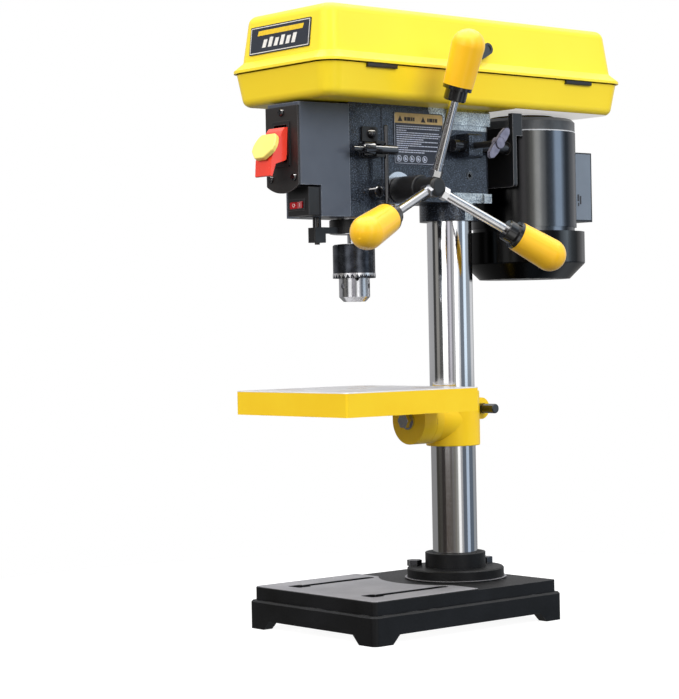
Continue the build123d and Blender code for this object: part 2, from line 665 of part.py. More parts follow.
def make_chuck_body():
    body = rod_z(0, SPINDLE_Y, NOSE_R, 315, 333)
    body += Pos(0, SPINDLE_Y, (315 + CHUCK_BOTTOM) / 2) * Cone(10.5, NOSE_R, 315 - CHUCK_BOTTOM)
    body += rod_z(0, SPINDLE_Y, 15.4, 333, CHUCK_TOP)
    body -= Pos(0, SPINDLE_Y, CHUCK_TOP - 10) * Cone(6.6, 7.6, 20)
    body -= rod_z(0, SPINDLE_Y, 6.4, CHUCK_BOTTOM - 1, 346)
    for index in range(3):
        body -= jaw_axis(index) * Pos(0, 0, 18) * Cylinder(JAW_R + 0.08, 52)
        turn = Pos(0, SPINDLE_Y, 325.4) * Rot(0, 0, 30 + 120 * index) * Rot(0, 90, 0)
        body -= turn * Pos(0, 0, NOSE_R) * Cylinder(2.6, 7)
    return body


def make_jaw(index):
    jaw = jaw_axis(index) * Pos(0, 0, JAW_LENGTH / 2) * Cylinder(JAW_R, JAW_LENGTH)
    turn = Pos(0, SPINDLE_Y, 0) * Rot(0, 0, 90 + 120 * index)
    wedge = make_face(Polyline((JAW_OPEN, 0), (JAW_OPEN + 20, 34.64), (JAW_OPEN + 20, -34.64), close=True))
    keep = turn * Pos(0, 0, CHUCK_BOTTOM) * extrude(wedge, 60)
    return jaw & keep


def make_chuck_sleeve():
    sleeve = tube_z(0, SPINDLE_Y, SLEEVE_R, 15.45, 337, CHUCK_TOP - 0.4)
    sleeve = chamfer(sleeve.edges().filter_by(GeomType.CIRCLE).group_by(Axis.Z)[-1].sort_by(Edge.length)[-1:], 1.2)
    sleeve += tube_z(0, SPINDLE_Y, SLEEVE_R + 0.3, 15.45, 332.7, 337.2)
    sleeve -= rod_z(0, SPINDLE_Y, 17.7, 330, 339.5)
    teeth = 30
    for index in range(teeth):
        angle = 360 / teeth * index
        notch = make_face(Polyline((-1.15, -1), (1.15, -1), (1.15, 0), (0.35, 2.9), (-0.35, 2.9), (-1.15, 0), close=True))
        tool = extrude(Plane.YZ * notch, 6)
        sleeve -= Pos(0, SPINDLE_Y, 332.7) * Rot(0, 0, angle) * Pos(15.8, 0, 0) * tool
    return sleeve


# ---------------------------------------------------------------- feed


def involute_point(base_r, t, offset):
    """A point of the involute of a circle, turned by the offset."""
    a = t + offset
    return base_r * (cos(a) + t * sin(a)), base_r * (sin(a) - t * cos(a))


def pinion_outline():
    """The pinion's section: involute flanks, a tooth pointing at the rack."""
    pitch_r = PINION_TEETH * MODULE / 2
    tip_r = pitch_r + ADDENDUM
    root_r = pitch_r - DEDENDUM
    base_r = pitch_r * cos(radians(PRESSURE))
    t_tip = ((tip_r / base_r) ** 2 - 1) ** 0.5
    t_pitch = tan(radians(PRESSURE))
    half = pi / 2 / PINION_TEETH - BACKLASH / 2 / pitch_r
    lean = t_pitch - radians(PRESSURE)
    points = []
    steps = 6
    for tooth in range(PINION_TEETH):
        centre = 2 * pi * tooth / PINION_TEETH
        start = centre - half - lean
        points.append((root_r * cos(start), root_r * sin(start)))
        for step in range(steps):
            points.append(involute_point(base_r, t_tip * step / (steps - 1), start))
        for step in reversed(range(steps)):
            x, y = involute_point(base_r, t_tip * step / (steps - 1), -half - lean)
            mirrored = (x * cos(centre) + y * sin(centre), x * sin(centre) - y * cos(centre))
            points.append(mirrored)
        end = centre + half + lean
        points.append((root_r * cos(end), root_r * sin(end)))
    return make_face(Polyline(*points, close=True))


def make_pinion_shaft():
    gear = extrude(pinion_outline(), PINION_HALF, both=True)
    placed = Pos(0, PINION_Y, PINION_Z) * Rot(0, 90, 0) * Rot(0, 0, 90) * gear
    shaft = rod_x(PINION_Y, PINION_Z, FEED_SHAFT_R, -31, 66)
    stub = rod_x(PINION_Y, PINION_Z, 5, -54, -30)
    return placed + shaft + stub


def make_feed_bush():
    bush = rod_x(PINION_Y, PINION_Z, 14.2, PINION_HALF + 1.2, HEAD_PAD_HALF)
    bush += rod_x(PINION_Y, PINION_Z, 17.5, HEAD_PAD_HALF, HEAD_PAD_HALF + 2)
    return bush - rod_x(PINION_Y, PINION_Z, FEED_SHAFT_R + RUN, 0, 40)


def rod_frame(index):
    """The frame of one feed rod: its local Z runs outwards along the rod."""
    turn = Rot(ROD_ANGLES[index] - 90, 0, 0)
    return Pos(ROD_ROOT_X, PINION_Y, PINION_Z) * turn * Rot(0, ROD_CONE, 0)


def along_rod(index, r, start, end):
    """A cylinder on a feed rod's axis."""
    return rod_frame(index) * Pos(0, 0, (start + end) / 2) * Cylinder(r, end - start)


def make_feed_hub():
    hub = rod_x(PINION_Y, PINION_Z, HUB_R, HUB_START, HUB_STEP)
    hub = fillet(hub.edges().sort_by(Axis.X)[-1:], 1.5)
    tip = rod_x(PINION_Y, PINION_Z, HUB_TIP_R, HUB_STEP - 1, HUB_END)
    hub += fillet(tip.edges().sort_by(Axis.X)[-1:], 4.0)
    hub -= rod_x(PINION_Y, PINION_Z, FEED_SHAFT_R, 30, 66)
    for index in range(3):
        hub -= along_rod(index, ROD_R, ROD_START, 30)
    return hub


def make_feed_rods():
    rods = []
    for index in range(3):
        rod = along_rod(index, ROD_R, ROD_START, GRIP_START + 30)
        nut = rod_frame(index) * Pos(0, 0, NUT_START) * hexagon(11, NUT_T)
        rods.append(rod + nut)
    return Compound(rods)


def make_grip_collars():
    collars = []
    for index in range(3):
        neck = along_rod(index, 10.4, GRIP_START - 14, GRIP_START - 2.5)
        neck = chamfer(neck.edges().filter_by(GeomType.CIRCLE).sort_by_distance((ROD_ROOT_X, PINION_Y, PINION_Z))[:1], 1.0)
        rim = along_rod(index, 13.6, GRIP_START - 3.5, GRIP_START)
        collars.append(neck + rim - along_rod(index, ROD_R, 40, 140))
    return Compound(collars)


def make_grips():
    grips = []
    crown = GRIP_END - GRIP_R
    side = Polyline((0, GRIP_END), (0, GRIP_START), (GRIP_ROOT_R, GRIP_START), (GRIP_R, crown))
    end = ThreePointArc((GRIP_R, crown), (GRIP_R * cos(pi / 4), crown + GRIP_R * sin(pi / 4)), (0, GRIP_END))
    profile = make_face(side.edges() + [end])
    for index in range(3):
        body = revolve(Plane.XZ * profile, Axis.Z)
        grips.append(rod_frame(index) * body - along_rod(index, ROD_R, 40, GRIP_START + 30))
    return Compound(grips)


def make_spring_cap():
    cup = rod_x(PINION_Y, PINION_Z, 24, -HEAD_PAD_HALF - 19, -HEAD_PAD_HALF)
    cup = fillet(cup.edges().sort_by(Axis.X)[:1], 3)
    cup -= rod_x(PINION_Y, PINION_Z, 22.4, -HEAD_PAD_HALF - 17.2, -HEAD_PAD_HALF + 1)
    return cup - rod_x(PINION_Y, PINION_Z, 5.3, -60, -20)


# ---------------------------------------------------------------- belt cover


def lid_form(shrink):
    """The lid as a filled shape, its walls moved inwards by that much."""
    cut = 2 * shrink
    lip = drafted(BOX_W - cut, BOX_D - cut, BOX_CORNER - shrink, LID_BOTTOM,
                  BOX_W - cut, BOX_D - cut, BOX_CORNER - shrink, LIP_TOP)
    flare = drafted(BOX_W - cut, BOX_D - cut, BOX_CORNER - shrink, LIP_TOP,
                    BOX_W - 16 - cut, BOX_D - 16 - cut, 15 - shrink, FLARE_TOP)
    crown = drafted(BOX_W - 16 - cut, BOX_D - 16 - cut, 15 - shrink, FLARE_TOP,
                    BOX_W - 27 - cut, BOX_D - 27 - cut, 13 - shrink, LID_TOP - shrink)
    crown = fillet(crown.faces().sort_by(Axis.Z)[-1].edges(), 9 - shrink)
    return lip + flare + crown


def make_cover_lid():
    lid = lid_form(0) - (lid_form(SHELL) + drafted(
        BOX_W - 2 * SHELL, BOX_D - 2 * SHELL, BOX_CORNER - SHELL, LID_BOTTOM - 1,
        BOX_W - 2 * SHELL, BOX_D - 2 * SHELL, BOX_CORNER - SHELL, LID_BOTTOM + 0.5,
    ))
    return lid - latch_frame() * Cylinder(3.06, 20)


def tray_form(shrink):
    """The tray as a filled shape, its walls moved inwards by that much."""
    cut = 2 * shrink
    form = drafted(BOX_W - 16 - cut, BOX_D - 16 - cut, 15 - shrink, TRAY_BOTTOM + shrink,
                   BOX_W - 6 - cut, BOX_D - 6 - cut, 17 - shrink, TRAY_TOP + 0.001 * shrink)
    return fillet(form.faces().sort_by(Axis.Z)[0].edges(), 8 - shrink)


def make_belt_tray():
    tray = tray_form(0) - tray_form(SHELL)
    tray -= rod_z(0, SPINDLE_Y, 22, 490, 510)
    tray -= rod_z(0, MOTOR_Y, TRAY_HOLE_R, 490, 510)
    for y0, y1 in BUMPER_SPANS:
        tray -= box(68, 80, y0, y1, BUMPER_BOTTOM, 530)
    return tray


def make_lid_bumpers():
    bumpers = []
    for y0, y1 in BUMPER_SPANS:
        bumper = box(68, 74.4, y0, y1, BUMPER_BOTTOM, BUMPER_TOP)
        bumpers.append(fillet(bumper.edges().filter_by(Axis.Y).group_by(Axis.X)[-1], 0.8))
    return Compound(bumpers)


def make_hinge_leaves(on_lid):
    """The leaves of both hinges that belong to the lid, or those that belong to the tray."""
    leaves = []
    third = HINGE_L / 3
    for y in HINGE_YS:
        start = y - HINGE_L / 2
        spans = [(start + third + 0.25, start + 2 * third - 0.25)]
        if not on_lid:
            spans = [(start, start + third - 0.25), (start + 2 * third + 0.25, start + HINGE_L)]
        leaf = None
        for y0, y1 in spans:
            knuckle = rod_y(HINGE_X, HINGE_Z, 3, y0, y1)
            if on_lid:
                knuckle += box(HINGE_X, -75.0, y0, y1, LID_BOTTOM + 0.3, LIP_TOP - 0.3)
            else:
                knuckle += box(HINGE_X, -71.95, y0, y1, HINGE_Z - 3, HINGE_Z - 1.4)
            leaf = knuckle if leaf is None else leaf + knuckle
        if not on_lid:
            leaf += box(-74.4, -71.95, start, start + HINGE_L, 512, HINGE_Z - 1.4)
        pin = rod_y(HINGE_X, HINGE_Z, 1.5 if not on_lid else 1.5 + RUN, start, start + HINGE_L)
        leaves.append(leaf - pin if on_lid else leaf + pin)
    return Compound(leaves)


def latch_frame():
    """The latch's frame, square to the lid's side: local Z points away from the lid, local X down."""
    wall_x = BOX_W / 2 - 8 - 5.5 * (LATCH_Z - FLARE_TOP) / (LID_TOP - FLARE_TOP)
    return Pos(wall_x, LATCH_Y, LATCH_Z) * Rot(0, 90 - WALL_LEAN, 0)


def make_lid_latch():
    """A teardrop lever outside the lid, on a shank that carries a catch inside it."""
    lean = (5.6 - 2.0) / 14.0
    across = (1 - lean * lean) ** 0.5
    wedge = make_face(Polyline((5.6 * lean, 5.6 * across), (14 + 2 * lean, 2 * across),
                               (14 + 2 * lean, -2 * across), (5.6 * lean, -5.6 * across), close=True))
    outline = wedge + Circle(5.6) + Pos(14, 0) * Circle(2)
    lever = extrude(outline, 6.6)
    lever = Pos(0, 0, 1.0) * Rot(0, 0, LATCH_ANGLE - 90) * lever
    lever += Pos(0, 0, 0.7) * Cylinder(4.4, 1.2)
    shank = Pos(0, 0, -3.4) * Cylinder(3, 8)
    catch = Pos(4, 0, -6.4) * Box(20, 8, 2)
    lever -= Pos(0, 0, 7.6) * Cylinder(3.2, 1.6)
    return latch_frame() * (lever + shank + catch)


def make_lid_badge():
    slope = 5.5 / (LID_TOP - FLARE_TOP)
    z = 554.7
    y = BOX_FRONT + 8 + slope * (z - FLARE_TOP)
    plate = Box(88, 1.0, 26.6)
    plate = fillet(plate.edges().filter_by(Axis.Y), 1.0)
    return Pos(-3.7, y - 0.51, z) * Rot(-WALL_LEAN, 0, 0) * plate


# ---------------------------------------------------------------- pulleys and belt


def step_pulley(y, steps, bore, bottom):
    """A cone pulley turned from the solid, one V groove on each step."""
    points = [(bore, bottom)]
    for index, r in enumerate(steps):
        z = bottom + STEP_H * index
        mid = z + STEP_H / 2
        points += [(r, z), (r, mid - GROOVE_HALF), (r - GROOVE_DEPTH, mid - 2.5),
                   (r - GROOVE_DEPTH, mid + 2.5), (r, mid + GROOVE_HALF), (r, z + STEP_H)]
    points.append((bore, bottom + STEP_H * len(steps)))
    profile = make_face(Polyline(*points, close=True))
    return Pos(0, y, 0) * revolve(Plane.XZ * profile, Axis.Z)


def make_spindle_pulley():
    top = PULLEY_BOTTOM + 5 * STEP_H
    pulley = step_pulley(SPINDLE_Y, SPINDLE_STEPS, SPLINE_R + 0.1, PULLEY_BOTTOM)
    pulley += tube_z(0, SPINDLE_Y, 16, SPLINE_R + 0.1, HEAD_TOP + 0.3, PULLEY_BOTTOM + 1)
    pulley += tube_z(0, SPINDLE_Y, PULLEY_HUB_R, SPLINE_R + 0.1, 474, HEAD_TOP + 1)
    for angle in range(0, 360, 60):
        key = Pos(*on_circle(SPLINE_R + 0.6, angle), 0) * Box(3.4, 2.7, 40)
        pulley += Pos(0, SPINDLE_Y, 494) * (key - Cylinder(6.2, 50))
    return pulley + tube_z(0, SPINDLE_Y, 14, SPLINE_R + 0.1, top - 1, top + 1.5)


def belt_loop(extra):
    """The outline of a loop round both pulleys, that far outside the belt's inside."""
    r0 = SPINDLE_STEPS[BELT_STEP] - 0.5 - BELT_T + extra
    r1 = MOTOR_STEPS[BELT_STEP] - 0.5 - BELT_T + extra
    distance = MOTOR_Y - SPINDLE_Y
    lean = (r0 - r1) / distance
    across = (1 - lean * lean) ** 0.5
    quad = make_face(Polyline(
        (r0 * across, SPINDLE_Y + r0 * lean), (r1 * across, MOTOR_Y + r1 * lean),
        (-r1 * across, MOTOR_Y + r1 * lean), (-r0 * across, SPINDLE_Y + r0 * lean), close=True,
    ))
    return quad + Pos(0, SPINDLE_Y) * Circle(r0) + Pos(0, MOTOR_Y) * Circle(r1)


def make_v_belt():
    mid = PULLEY_BOTTOM + STEP_H * (BELT_STEP + 0.5)
    outer = extrude(Pos(0, 0, mid - BELT_HALF) * belt_loop(BELT_T), 2 * BELT_HALF)
    inner = extrude(Pos(0, 0, mid - BELT_HALF - 1) * belt_loop(0), 2 * BELT_HALF + 2)
    belt = outer - inner
    for side in (-1, 1):
        z0 = mid + side * BELT_HALF
        z1 = mid + side * (BELT_HALF - 2)
        tool = loft([Pos(0, 0, z0 + side * 0.5) * belt_loop(5 + 1.25), Pos(0, 0, z1) * belt_loop(0)])
        belt -= tool
    return belt


def make_motor_pulley():
    return step_pulley(MOTOR_Y, MOTOR_STEPS, SHAFT_R, PULLEY_BOTTOM)


# ---------------------------------------------------------------- motor


def make_motor_shell():
    shell = tube_z(0, MOTOR_Y, MOTOR_R, MOTOR_R - 2.5, MOTOR_BODY_BOTTOM, MOTOR_TOP)
    foot = box(-30, 30, MOUNT_REAR, 135, 428, 474) - rod_z(0, MOTOR_Y, MOTOR_R - 1, 400, 500)
    neck = tube_z(0, MOTOR_Y, MOTOR_R - 2, SHAFT_R + RUN, MOTOR_BOTTOM, MOTOR_BODY_BOTTOM + 3)
    floor = tube_z(0, MOTOR_Y, MOTOR_R - 1, 40, MOTOR_BODY_BOTTOM, MOTOR_BODY_BOTTOM + 3)
    return shell + foot + neck + floor


def make_motor_end_bell():
    cap = rod_z(0, MOTOR_Y, MOTOR_R - 0.4, MOTOR_TOP, MOTOR_CAP_TOP)
    cap = chamfer(cap.edges().sort_by(Axis.Z)[-1:], 3.2)
    return cap - rod_z(0, MOTOR_Y, SHAFT_R + RUN, 400, 500)


def make_motor_rotor():
    core = rod_z(0, MOTOR_Y, 27.4, 398, 462)
    return core + rod_z(0, MOTOR_Y, SHAFT_R, 346, PULLEY_BOTTOM + 5 * STEP_H - 2)


def make_fan_cover():
    def cup(r, bottom, bevel, top):
        solid = rod_z(0, MOTOR_Y, r, bottom, top)
        return chamfer(solid.edges().sort_by(Axis.Z)[:1], bevel)

    cover = cup(FAN_COVER_R, FAN_COVER_BOTTOM, 15.5, MOTOR_BOTTOM)
    cover = fillet(cover.edges().sort_by(Axis.Z)[1:3], 2.0)
    cover -= cup(FAN_COVER_R - 1.6, FAN_COVER_BOTTOM + 1.6, 15, MOTOR_BOTTOM - 1.6)
    cover -= rod_z(0, MOTOR_Y, 30, 370, 390)
    for ring, count in ((14, 8), (26, 14), (38, 20)):
        for index in range(count):
            turn = Pos(0, MOTOR_Y, FAN_COVER_BOTTOM) * Rot(0, 0, 360 / count * index)
            cover -= turn * Pos(ring, 0, 0) * Cylinder(3.2, 8)
    return cover


def make_capacitor_box():
    body = box(-16.5, 16.5, 215, 256, 390.5, 461.5)
    body = fillet(body.edges().filter_by(Axis.Z).group_by(Axis.Y)[-1], 3)
    return body - rod_z(0, MOTOR_Y, MOTOR_R, 370, 500)


def make_motor_mount():
    plate = box(-47.5, 47.5, MOUNT_FRONT, MOUNT_REAR, 421, 480)
    plate = fillet(plate.edges().filter_by(Axis.Y), 3)
    for side in (-1, 1):
        ear = box(41.5, 47.5, MOUNT_FRONT, MOUNT_REAR + 8, 471, 493)
        plate += ear if side > 0 else mirror(ear, about=Plane.YZ)
        plate -= rod_y(side * SLIDE_ROD_X, SLIDE_ROD_Z, SLIDE_ROD_R, 100, 120)
    return plate


def make_slide_rods():
    return Compound([rod_y(s * SLIDE_ROD_X, SLIDE_ROD_Z, SLIDE_ROD_R, 36, MOUNT_REAR) for s in (-1, 1)])


def make_wing_bolt():
    shank = rod_x(WING_Y, SLIDE_ROD_Z, 3.0, SLIDE_ROD_X + SLIDE_ROD_R + 0.2, WING_X)
    hub = rod_x(WING_Y, SLIDE_ROD_Z, 5.6, WING_X - 1, WING_X + 6)
    wings = None
    for turn in (0, 180):
        blade = make_face(Polyline(
            (0, -4.6), (9, -5), (16, -4), (19, -1.5), (19, 1.5), (16, 4), (9, 5), (0, 4.6), close=True,
        ))
        wing = extrude(Plane.YZ * blade, 1.7, both=True)
        wing = Pos(WING_X + 3, WING_Y, SLIDE_ROD_Z) * Rot(WING_TURN + turn, 0, 0) * wing
        wings = wing if wings is None else wings + wing
    return shank + hub + wings


# ---------------------------------------------------------------- chuck key

def make_chuck_key():
    shank = rod_y(KEY_X, KEY_Z, 4.6, -70, -39.5)
    gear = rod_y(KEY_X, KEY_Z, 7, -80.5, -69)
    for index in range(10):
        turn = Pos(KEY_X, -76, KEY_Z) * Rot(0, 36 * index, 0)
        gear -= turn * Pos(7, 0, 0) * Rot(0, 0, -14) * Box(3.4, 14, 2.0)
    pilot = rod_y(KEY_X, KEY_Z, 2.5, -91.5, -80)
    key = shank + gear + pilot
    return key - rod_z(KEY_X, -51, 2.2, 440, 460)


def make_key_bar():
    bar = rod_z(KEY_X, -51, 2.2, 397.5, 474)
    return chamfer(bar.edges().filter_by(GeomType.CIRCLE), 0.7)


PARTS = {
    "base": make_base,
    "column_flange": make_column_flange,
    "column_flange_bolts": make_flange_bolts,
    "column": make_column,
    "table": make_table,
    "table_bracket": make_table_bracket,
    "tilt_bolt": make_tilt_bolt,
    "table_lock_handle": make_table_lock,
    "head_casting": make_head_casting,
    "head_set_screws": make_set_screws,
    "quill_guide_screw": make_quill_guide_screw,
    "key_holder": make_key_holder,
    "key_holder_screw": make_key_holder_screw,
    "warning_plate": make_warning_plate,
    "front_cover": make_front_cover,
    "switch_plate": make_switch_plate,
    "switch_plate_screws": make_plate_screws,
    "switch_housing": make_switch_housing,
    "switch_paddle": make_switch_paddle,
    "safety_key": make_safety_key,
    "laser_switch_box": make_laser_switch_box,
    "laser_rocker": make_laser_rocker,
    "quill": make_quill,
    "quill_bearings": make_quill_bearings,
    "depth_collar": make_depth_collar,
    "depth_rod": make_depth_rod,
    "depth_nuts": make_depth_nuts,
    "spindle": make_spindle,
    "chuck_body": make_chuck_body,
    "chuck_sleeve": make_chuck_sleeve,
    "chuck_jaw_1": lambda: make_jaw(0),
    "chuck_jaw_2": lambda: make_jaw(1),
    "chuck_jaw_3": lambda: make_jaw(2),
    "pinion_shaft": make_pinion_shaft,
    "feed_bush": make_feed_bush,
    "feed_hub": make_feed_hub,
    "feed_rods": make_feed_rods,
    "grip_collars": make_grip_collars,
    "grips": make_grips,
    "spring_cap": make_spring_cap,
    "belt_tray": make_belt_tray,
    "cover_lid": make_cover_lid,
    "lid_bumpers": make_lid_bumpers,
    "lid_latch": make_lid_latch,
    "lid_badge": make_lid_badge,
    "lid_hinge_leaves": lambda: make_hinge_leaves(True),
    "tray_hinge_leaves": lambda: make_hinge_leaves(False),
    "spindle_pulley": make_spindle_pulley,
    "v_belt": make_v_belt,
    "motor_pulley": make_motor_pulley,
    "motor_shell": make_motor_shell,
    "motor_end_bell": make_motor_end_bell,
    "motor_rotor": make_motor_rotor,
    "fan_cover": make_fan_cover,
    "capacitor_box": make_capacitor_box,
    "motor_mount": make_motor_mount,
    "slide_rods": make_slide_rods,
    "wing_bolt": make_wing_bolt,
    "chuck_key": make_chuck_key,
    "key_bar": make_key_bar,
}

for node, maker in PARTS.items():
    save(maker(), node)
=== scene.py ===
from math import cos, pi, radians, sin

import bmesh
import bpy
from mathutils import Matrix, Vector


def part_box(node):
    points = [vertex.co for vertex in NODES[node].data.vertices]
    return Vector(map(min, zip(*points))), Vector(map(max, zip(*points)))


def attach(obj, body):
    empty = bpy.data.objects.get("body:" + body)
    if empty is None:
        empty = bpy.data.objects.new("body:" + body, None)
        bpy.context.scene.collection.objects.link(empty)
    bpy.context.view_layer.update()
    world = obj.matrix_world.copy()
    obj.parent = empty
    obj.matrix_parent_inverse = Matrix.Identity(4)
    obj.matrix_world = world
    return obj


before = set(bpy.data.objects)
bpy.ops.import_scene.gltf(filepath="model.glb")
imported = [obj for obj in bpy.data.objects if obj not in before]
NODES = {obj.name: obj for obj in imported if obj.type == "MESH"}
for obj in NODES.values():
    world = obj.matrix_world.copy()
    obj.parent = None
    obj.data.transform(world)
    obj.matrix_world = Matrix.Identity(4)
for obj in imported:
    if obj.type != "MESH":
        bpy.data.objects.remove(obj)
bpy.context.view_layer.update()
MM = 0.001

# ---------------------------------------------------------------- camera

AZIMUTH = radians(49.73)
DIP = radians(0.65)
ROLL = radians(1.11)
CAMERA_AT = (1.4824, -1.3341, 0.2879)
LENS = 106.63


def make_camera():
    """The camera stands at the front right, almost level with the table."""
    forward = Vector((-sin(AZIMUTH) * cos(DIP), cos(AZIMUTH) * cos(DIP), -sin(DIP)))
    level = Vector((cos(AZIMUTH), sin(AZIMUTH), 0))
    up = level.cross(forward)
    right = level * cos(ROLL) - up * sin(ROLL)
    top = up * cos(ROLL) + level * sin(ROLL)
    data = bpy.data.cameras.new("camera")
    data.lens = LENS
    data.sensor_width = 36
    data.clip_end = 20
    camera = bpy.data.objects.new("camera", data)
    bpy.context.scene.collection.objects.link(camera)
    turn = Matrix((right, top, -forward)).transposed()
    camera.matrix_world = Matrix.Translation(CAMERA_AT) @ turn.to_4x4()
    bpy.context.scene.camera = camera


# ---------------------------------------------------------------- node tree helper


class Paint:
    """A material being built: a Principled shader, with short calls for the nodes before it."""

    def __init__(self, name, rough=0.5, metal=0.0, coat=0.0, coat_rough=0.05, specular=0.5):
        self.material = bpy.data.materials.new(name)
        self.material.use_nodes = True
        self.tree = self.material.node_tree
        self.shader = self.tree.nodes["Principled BSDF"]
        self.shader.inputs["Roughness"].default_value = rough
        self.shader.inputs["Metallic"].default_value = metal
        self.shader.inputs["Coat Weight"].default_value = coat
        self.shader.inputs["Coat Roughness"].default_value = coat_rough
        self.shader.inputs["Specular IOR Level"].default_value = specular
        self.place = self.new("ShaderNodeTexCoord").outputs["Object"]
        self.height = None

    def new(self, kind, **values):
        node = self.tree.nodes.new(kind)
        for key, value in values.items():
            if key in node.inputs:
                node.inputs[key].default_value = value
            else:
                setattr(node, key.lower().replace(" ", "_"), value)
        return node

    def join(self, output, target):
        self.tree.links.new(output, target)

    def stretched(self, scale):
        """The object's own coordinates, stretched along each axis."""
        node = self.new("ShaderNodeMapping")
        node.inputs["Scale"].default_value = scale
        self.join(self.place, node.inputs["Vector"])
        return node.outputs["Vector"]

    def noise(self, scale, detail=3.0, roughness=0.5, vector=None):
        node = self.new("ShaderNodeTexNoise", Scale=scale, Detail=detail, Roughness=roughness)
        self.join(vector or self.place, node.inputs["Vector"])
        return node.outputs["Fac"]

    def cells(self, scale, smooth):
        """Smoothed round cells, for dimples."""
        node = self.new("ShaderNodeTexVoronoi", Scale=scale)
        node.feature = "SMOOTH_F1"
        node.inputs["Smoothness"].default_value = smooth
        self.join(self.place, node.inputs["Vector"])
        return node.outputs["Distance"]

    def ramp(self, value, *stops):
        """A colour ramp. Each stop is a position and a grey level or a colour."""
        node = self.new("ShaderNodeValToRGB")
        elements = node.color_ramp.elements
        while len(elements) < len(stops):
            elements.new(0.5)
        for element, (position, level) in zip(elements, stops):
            element.position = position
            colour = level if isinstance(level, (tuple, list)) else (level, level, level)
            element.color = (*colour[:3], 1)
        self.join(value, node.inputs["Fac"])
        return node.outputs["Color"]

    def maths(self, operation, a, b=0.0):
        node = self.new("ShaderNodeMath")
        node.operation = operation
        for socket, value in zip(node.inputs, (a, b)):
            if hasattr(value, "links"):
                self.join(value, socket)
            else:
                socket.default_value = value
        return node.outputs[0]

    def mix(self, share, a, b, blend="MIX"):
        """Two colours mixed by a share; each may be a colour or an output."""
        node = self.new("ShaderNodeMix")
        node.data_type = "RGBA"
        node.blend_type = blend
        for socket, value in ((node.inputs[0], share), (node.inputs[6], a), (node.inputs[7], b)):
            if hasattr(value, "links"):
                self.join(value, socket)
            elif isinstance(value, (tuple, list)):
                socket.default_value = (*value[:3], 1)
            else:
                socket.default_value = value
        return node.outputs[2]

    def colour(self, value):
        if hasattr(value, "links"):
            self.join(value, self.shader.inputs["Base Color"])
        else:
            self.shader.inputs["Base Color"].default_value = (*value[:3], 1)

    def rough(self, value, low, high):
        """Roughness that follows a texture, from low to high."""
        node = self.new("ShaderNodeMapRange")
        node.inputs["To Min"].default_value = low
        node.inputs["To Max"].default_value = high
        self.join(value, node.inputs["Value"])
        self.join(node.outputs["Result"], self.shader.inputs["Roughness"])

    def metal(self, value):
        self.join(value, self.shader.inputs["Metallic"])

    def bump(self, value, millimetres, strength=1.0):
        """Adds relief of that height to the surface."""
        node = self.new("ShaderNodeBump", Strength=strength, Distance=millimetres * MM)
        self.join(value, node.inputs["Height"])
        if self.height:
            self.join(self.height, node.inputs["Normal"])
        self.height = node.outputs["Normal"]
        self.join(self.height, self.shader.inputs["Normal"])

    def edges(self, radius_mm, sharpness=4.0):
        """Near 1 on sharp outer edges, 0 on flat and smooth surfaces."""
        bevel = self.new("ShaderNodeBevel")
        bevel.samples = 6
        bevel.inputs["Radius"].default_value = radius_mm * MM
        flat = self.new("ShaderNodeNewGeometry").outputs["Normal"]
        dot = self.new("ShaderNodeVectorMath")
        dot.operation = "DOT_PRODUCT"
        self.join(bevel.outputs["Normal"], dot.inputs[0])
        self.join(flat, dot.inputs[1])
        lost = self.maths("SUBTRACT", 1.0, dot.outputs["Value"])
        return self.maths("MULTIPLY", lost, sharpness)

    def patchy_edges(self, radius_mm, start, end, patches, *stops):
        """Sharp edges in patches, for worn paint and, on the front cover, for a painted highlight:
        where the edge mask starts and is full, and the noise over it.
        """
        line = self.ramp(self.edges(radius_mm), (start, 0.0), (end, 1.0))
        return self.maths("MULTIPLY", line, self.ramp(patches, *stops))

    def axis(self, index):
        """One coordinate of the place, in metres."""
        node = self.new("ShaderNodeSeparateXYZ")
        self.join(self.place, node.inputs[0])
        return node.outputs[index]

    def above(self, index, limit):
        """1 where that coordinate is greater than the limit, 0 elsewhere."""
        return self.maths("GREATER_THAN", self.axis(index), limit)

    def below(self, index, limit):
        """1 where that coordinate is less than the limit, 0 elsewhere."""
        return self.maths("LESS_THAN", self.axis(index), limit)


# ---------------------------------------------------------------- materials

X, Y, Z = 0, 1, 2
# The light grey lining of the belt tray's floor starts here, just in front of the motor. It also
# glows a little: painted light that keeps it white in its own shade.
GLOWING_LINER_FRONT = 0.098


def gloss_yellow(name, colour, warm, glowing_liner_top=None):
    """Sprayed gloss paint with orange peel. Below the lining's top, the rear of the floor is light
    grey and glows a little, as painted light.
    """
    p = Paint(name, rough=0.3, coat=0.2, coat_rough=0.16, specular=0.3)
    paint = p.ramp(p.noise(9, 2), (0.35, colour), (0.7, warm))
    if glowing_liner_top is not None:
        glowing_liner = p.maths("MULTIPLY", p.below(Z, glowing_liner_top), p.above(Y, GLOWING_LINER_FRONT))
        paint = p.mix(glowing_liner, paint, (0.93, 0.93, 0.93))
        # Painted light: the lining's glow keeps it white where it is in shade.
        p.join(p.mix(glowing_liner, (0, 0, 0), (1.0, 0.98, 0.95)), p.shader.inputs["Emission Color"])
        p.shader.inputs["Emission Strength"].default_value = 0.45
    p.colour(paint)
    p.rough(p.noise(60, 4), 0.27, 0.38)
    p.bump(p.noise(520, 2), 0.03, 0.45)
    return p.material


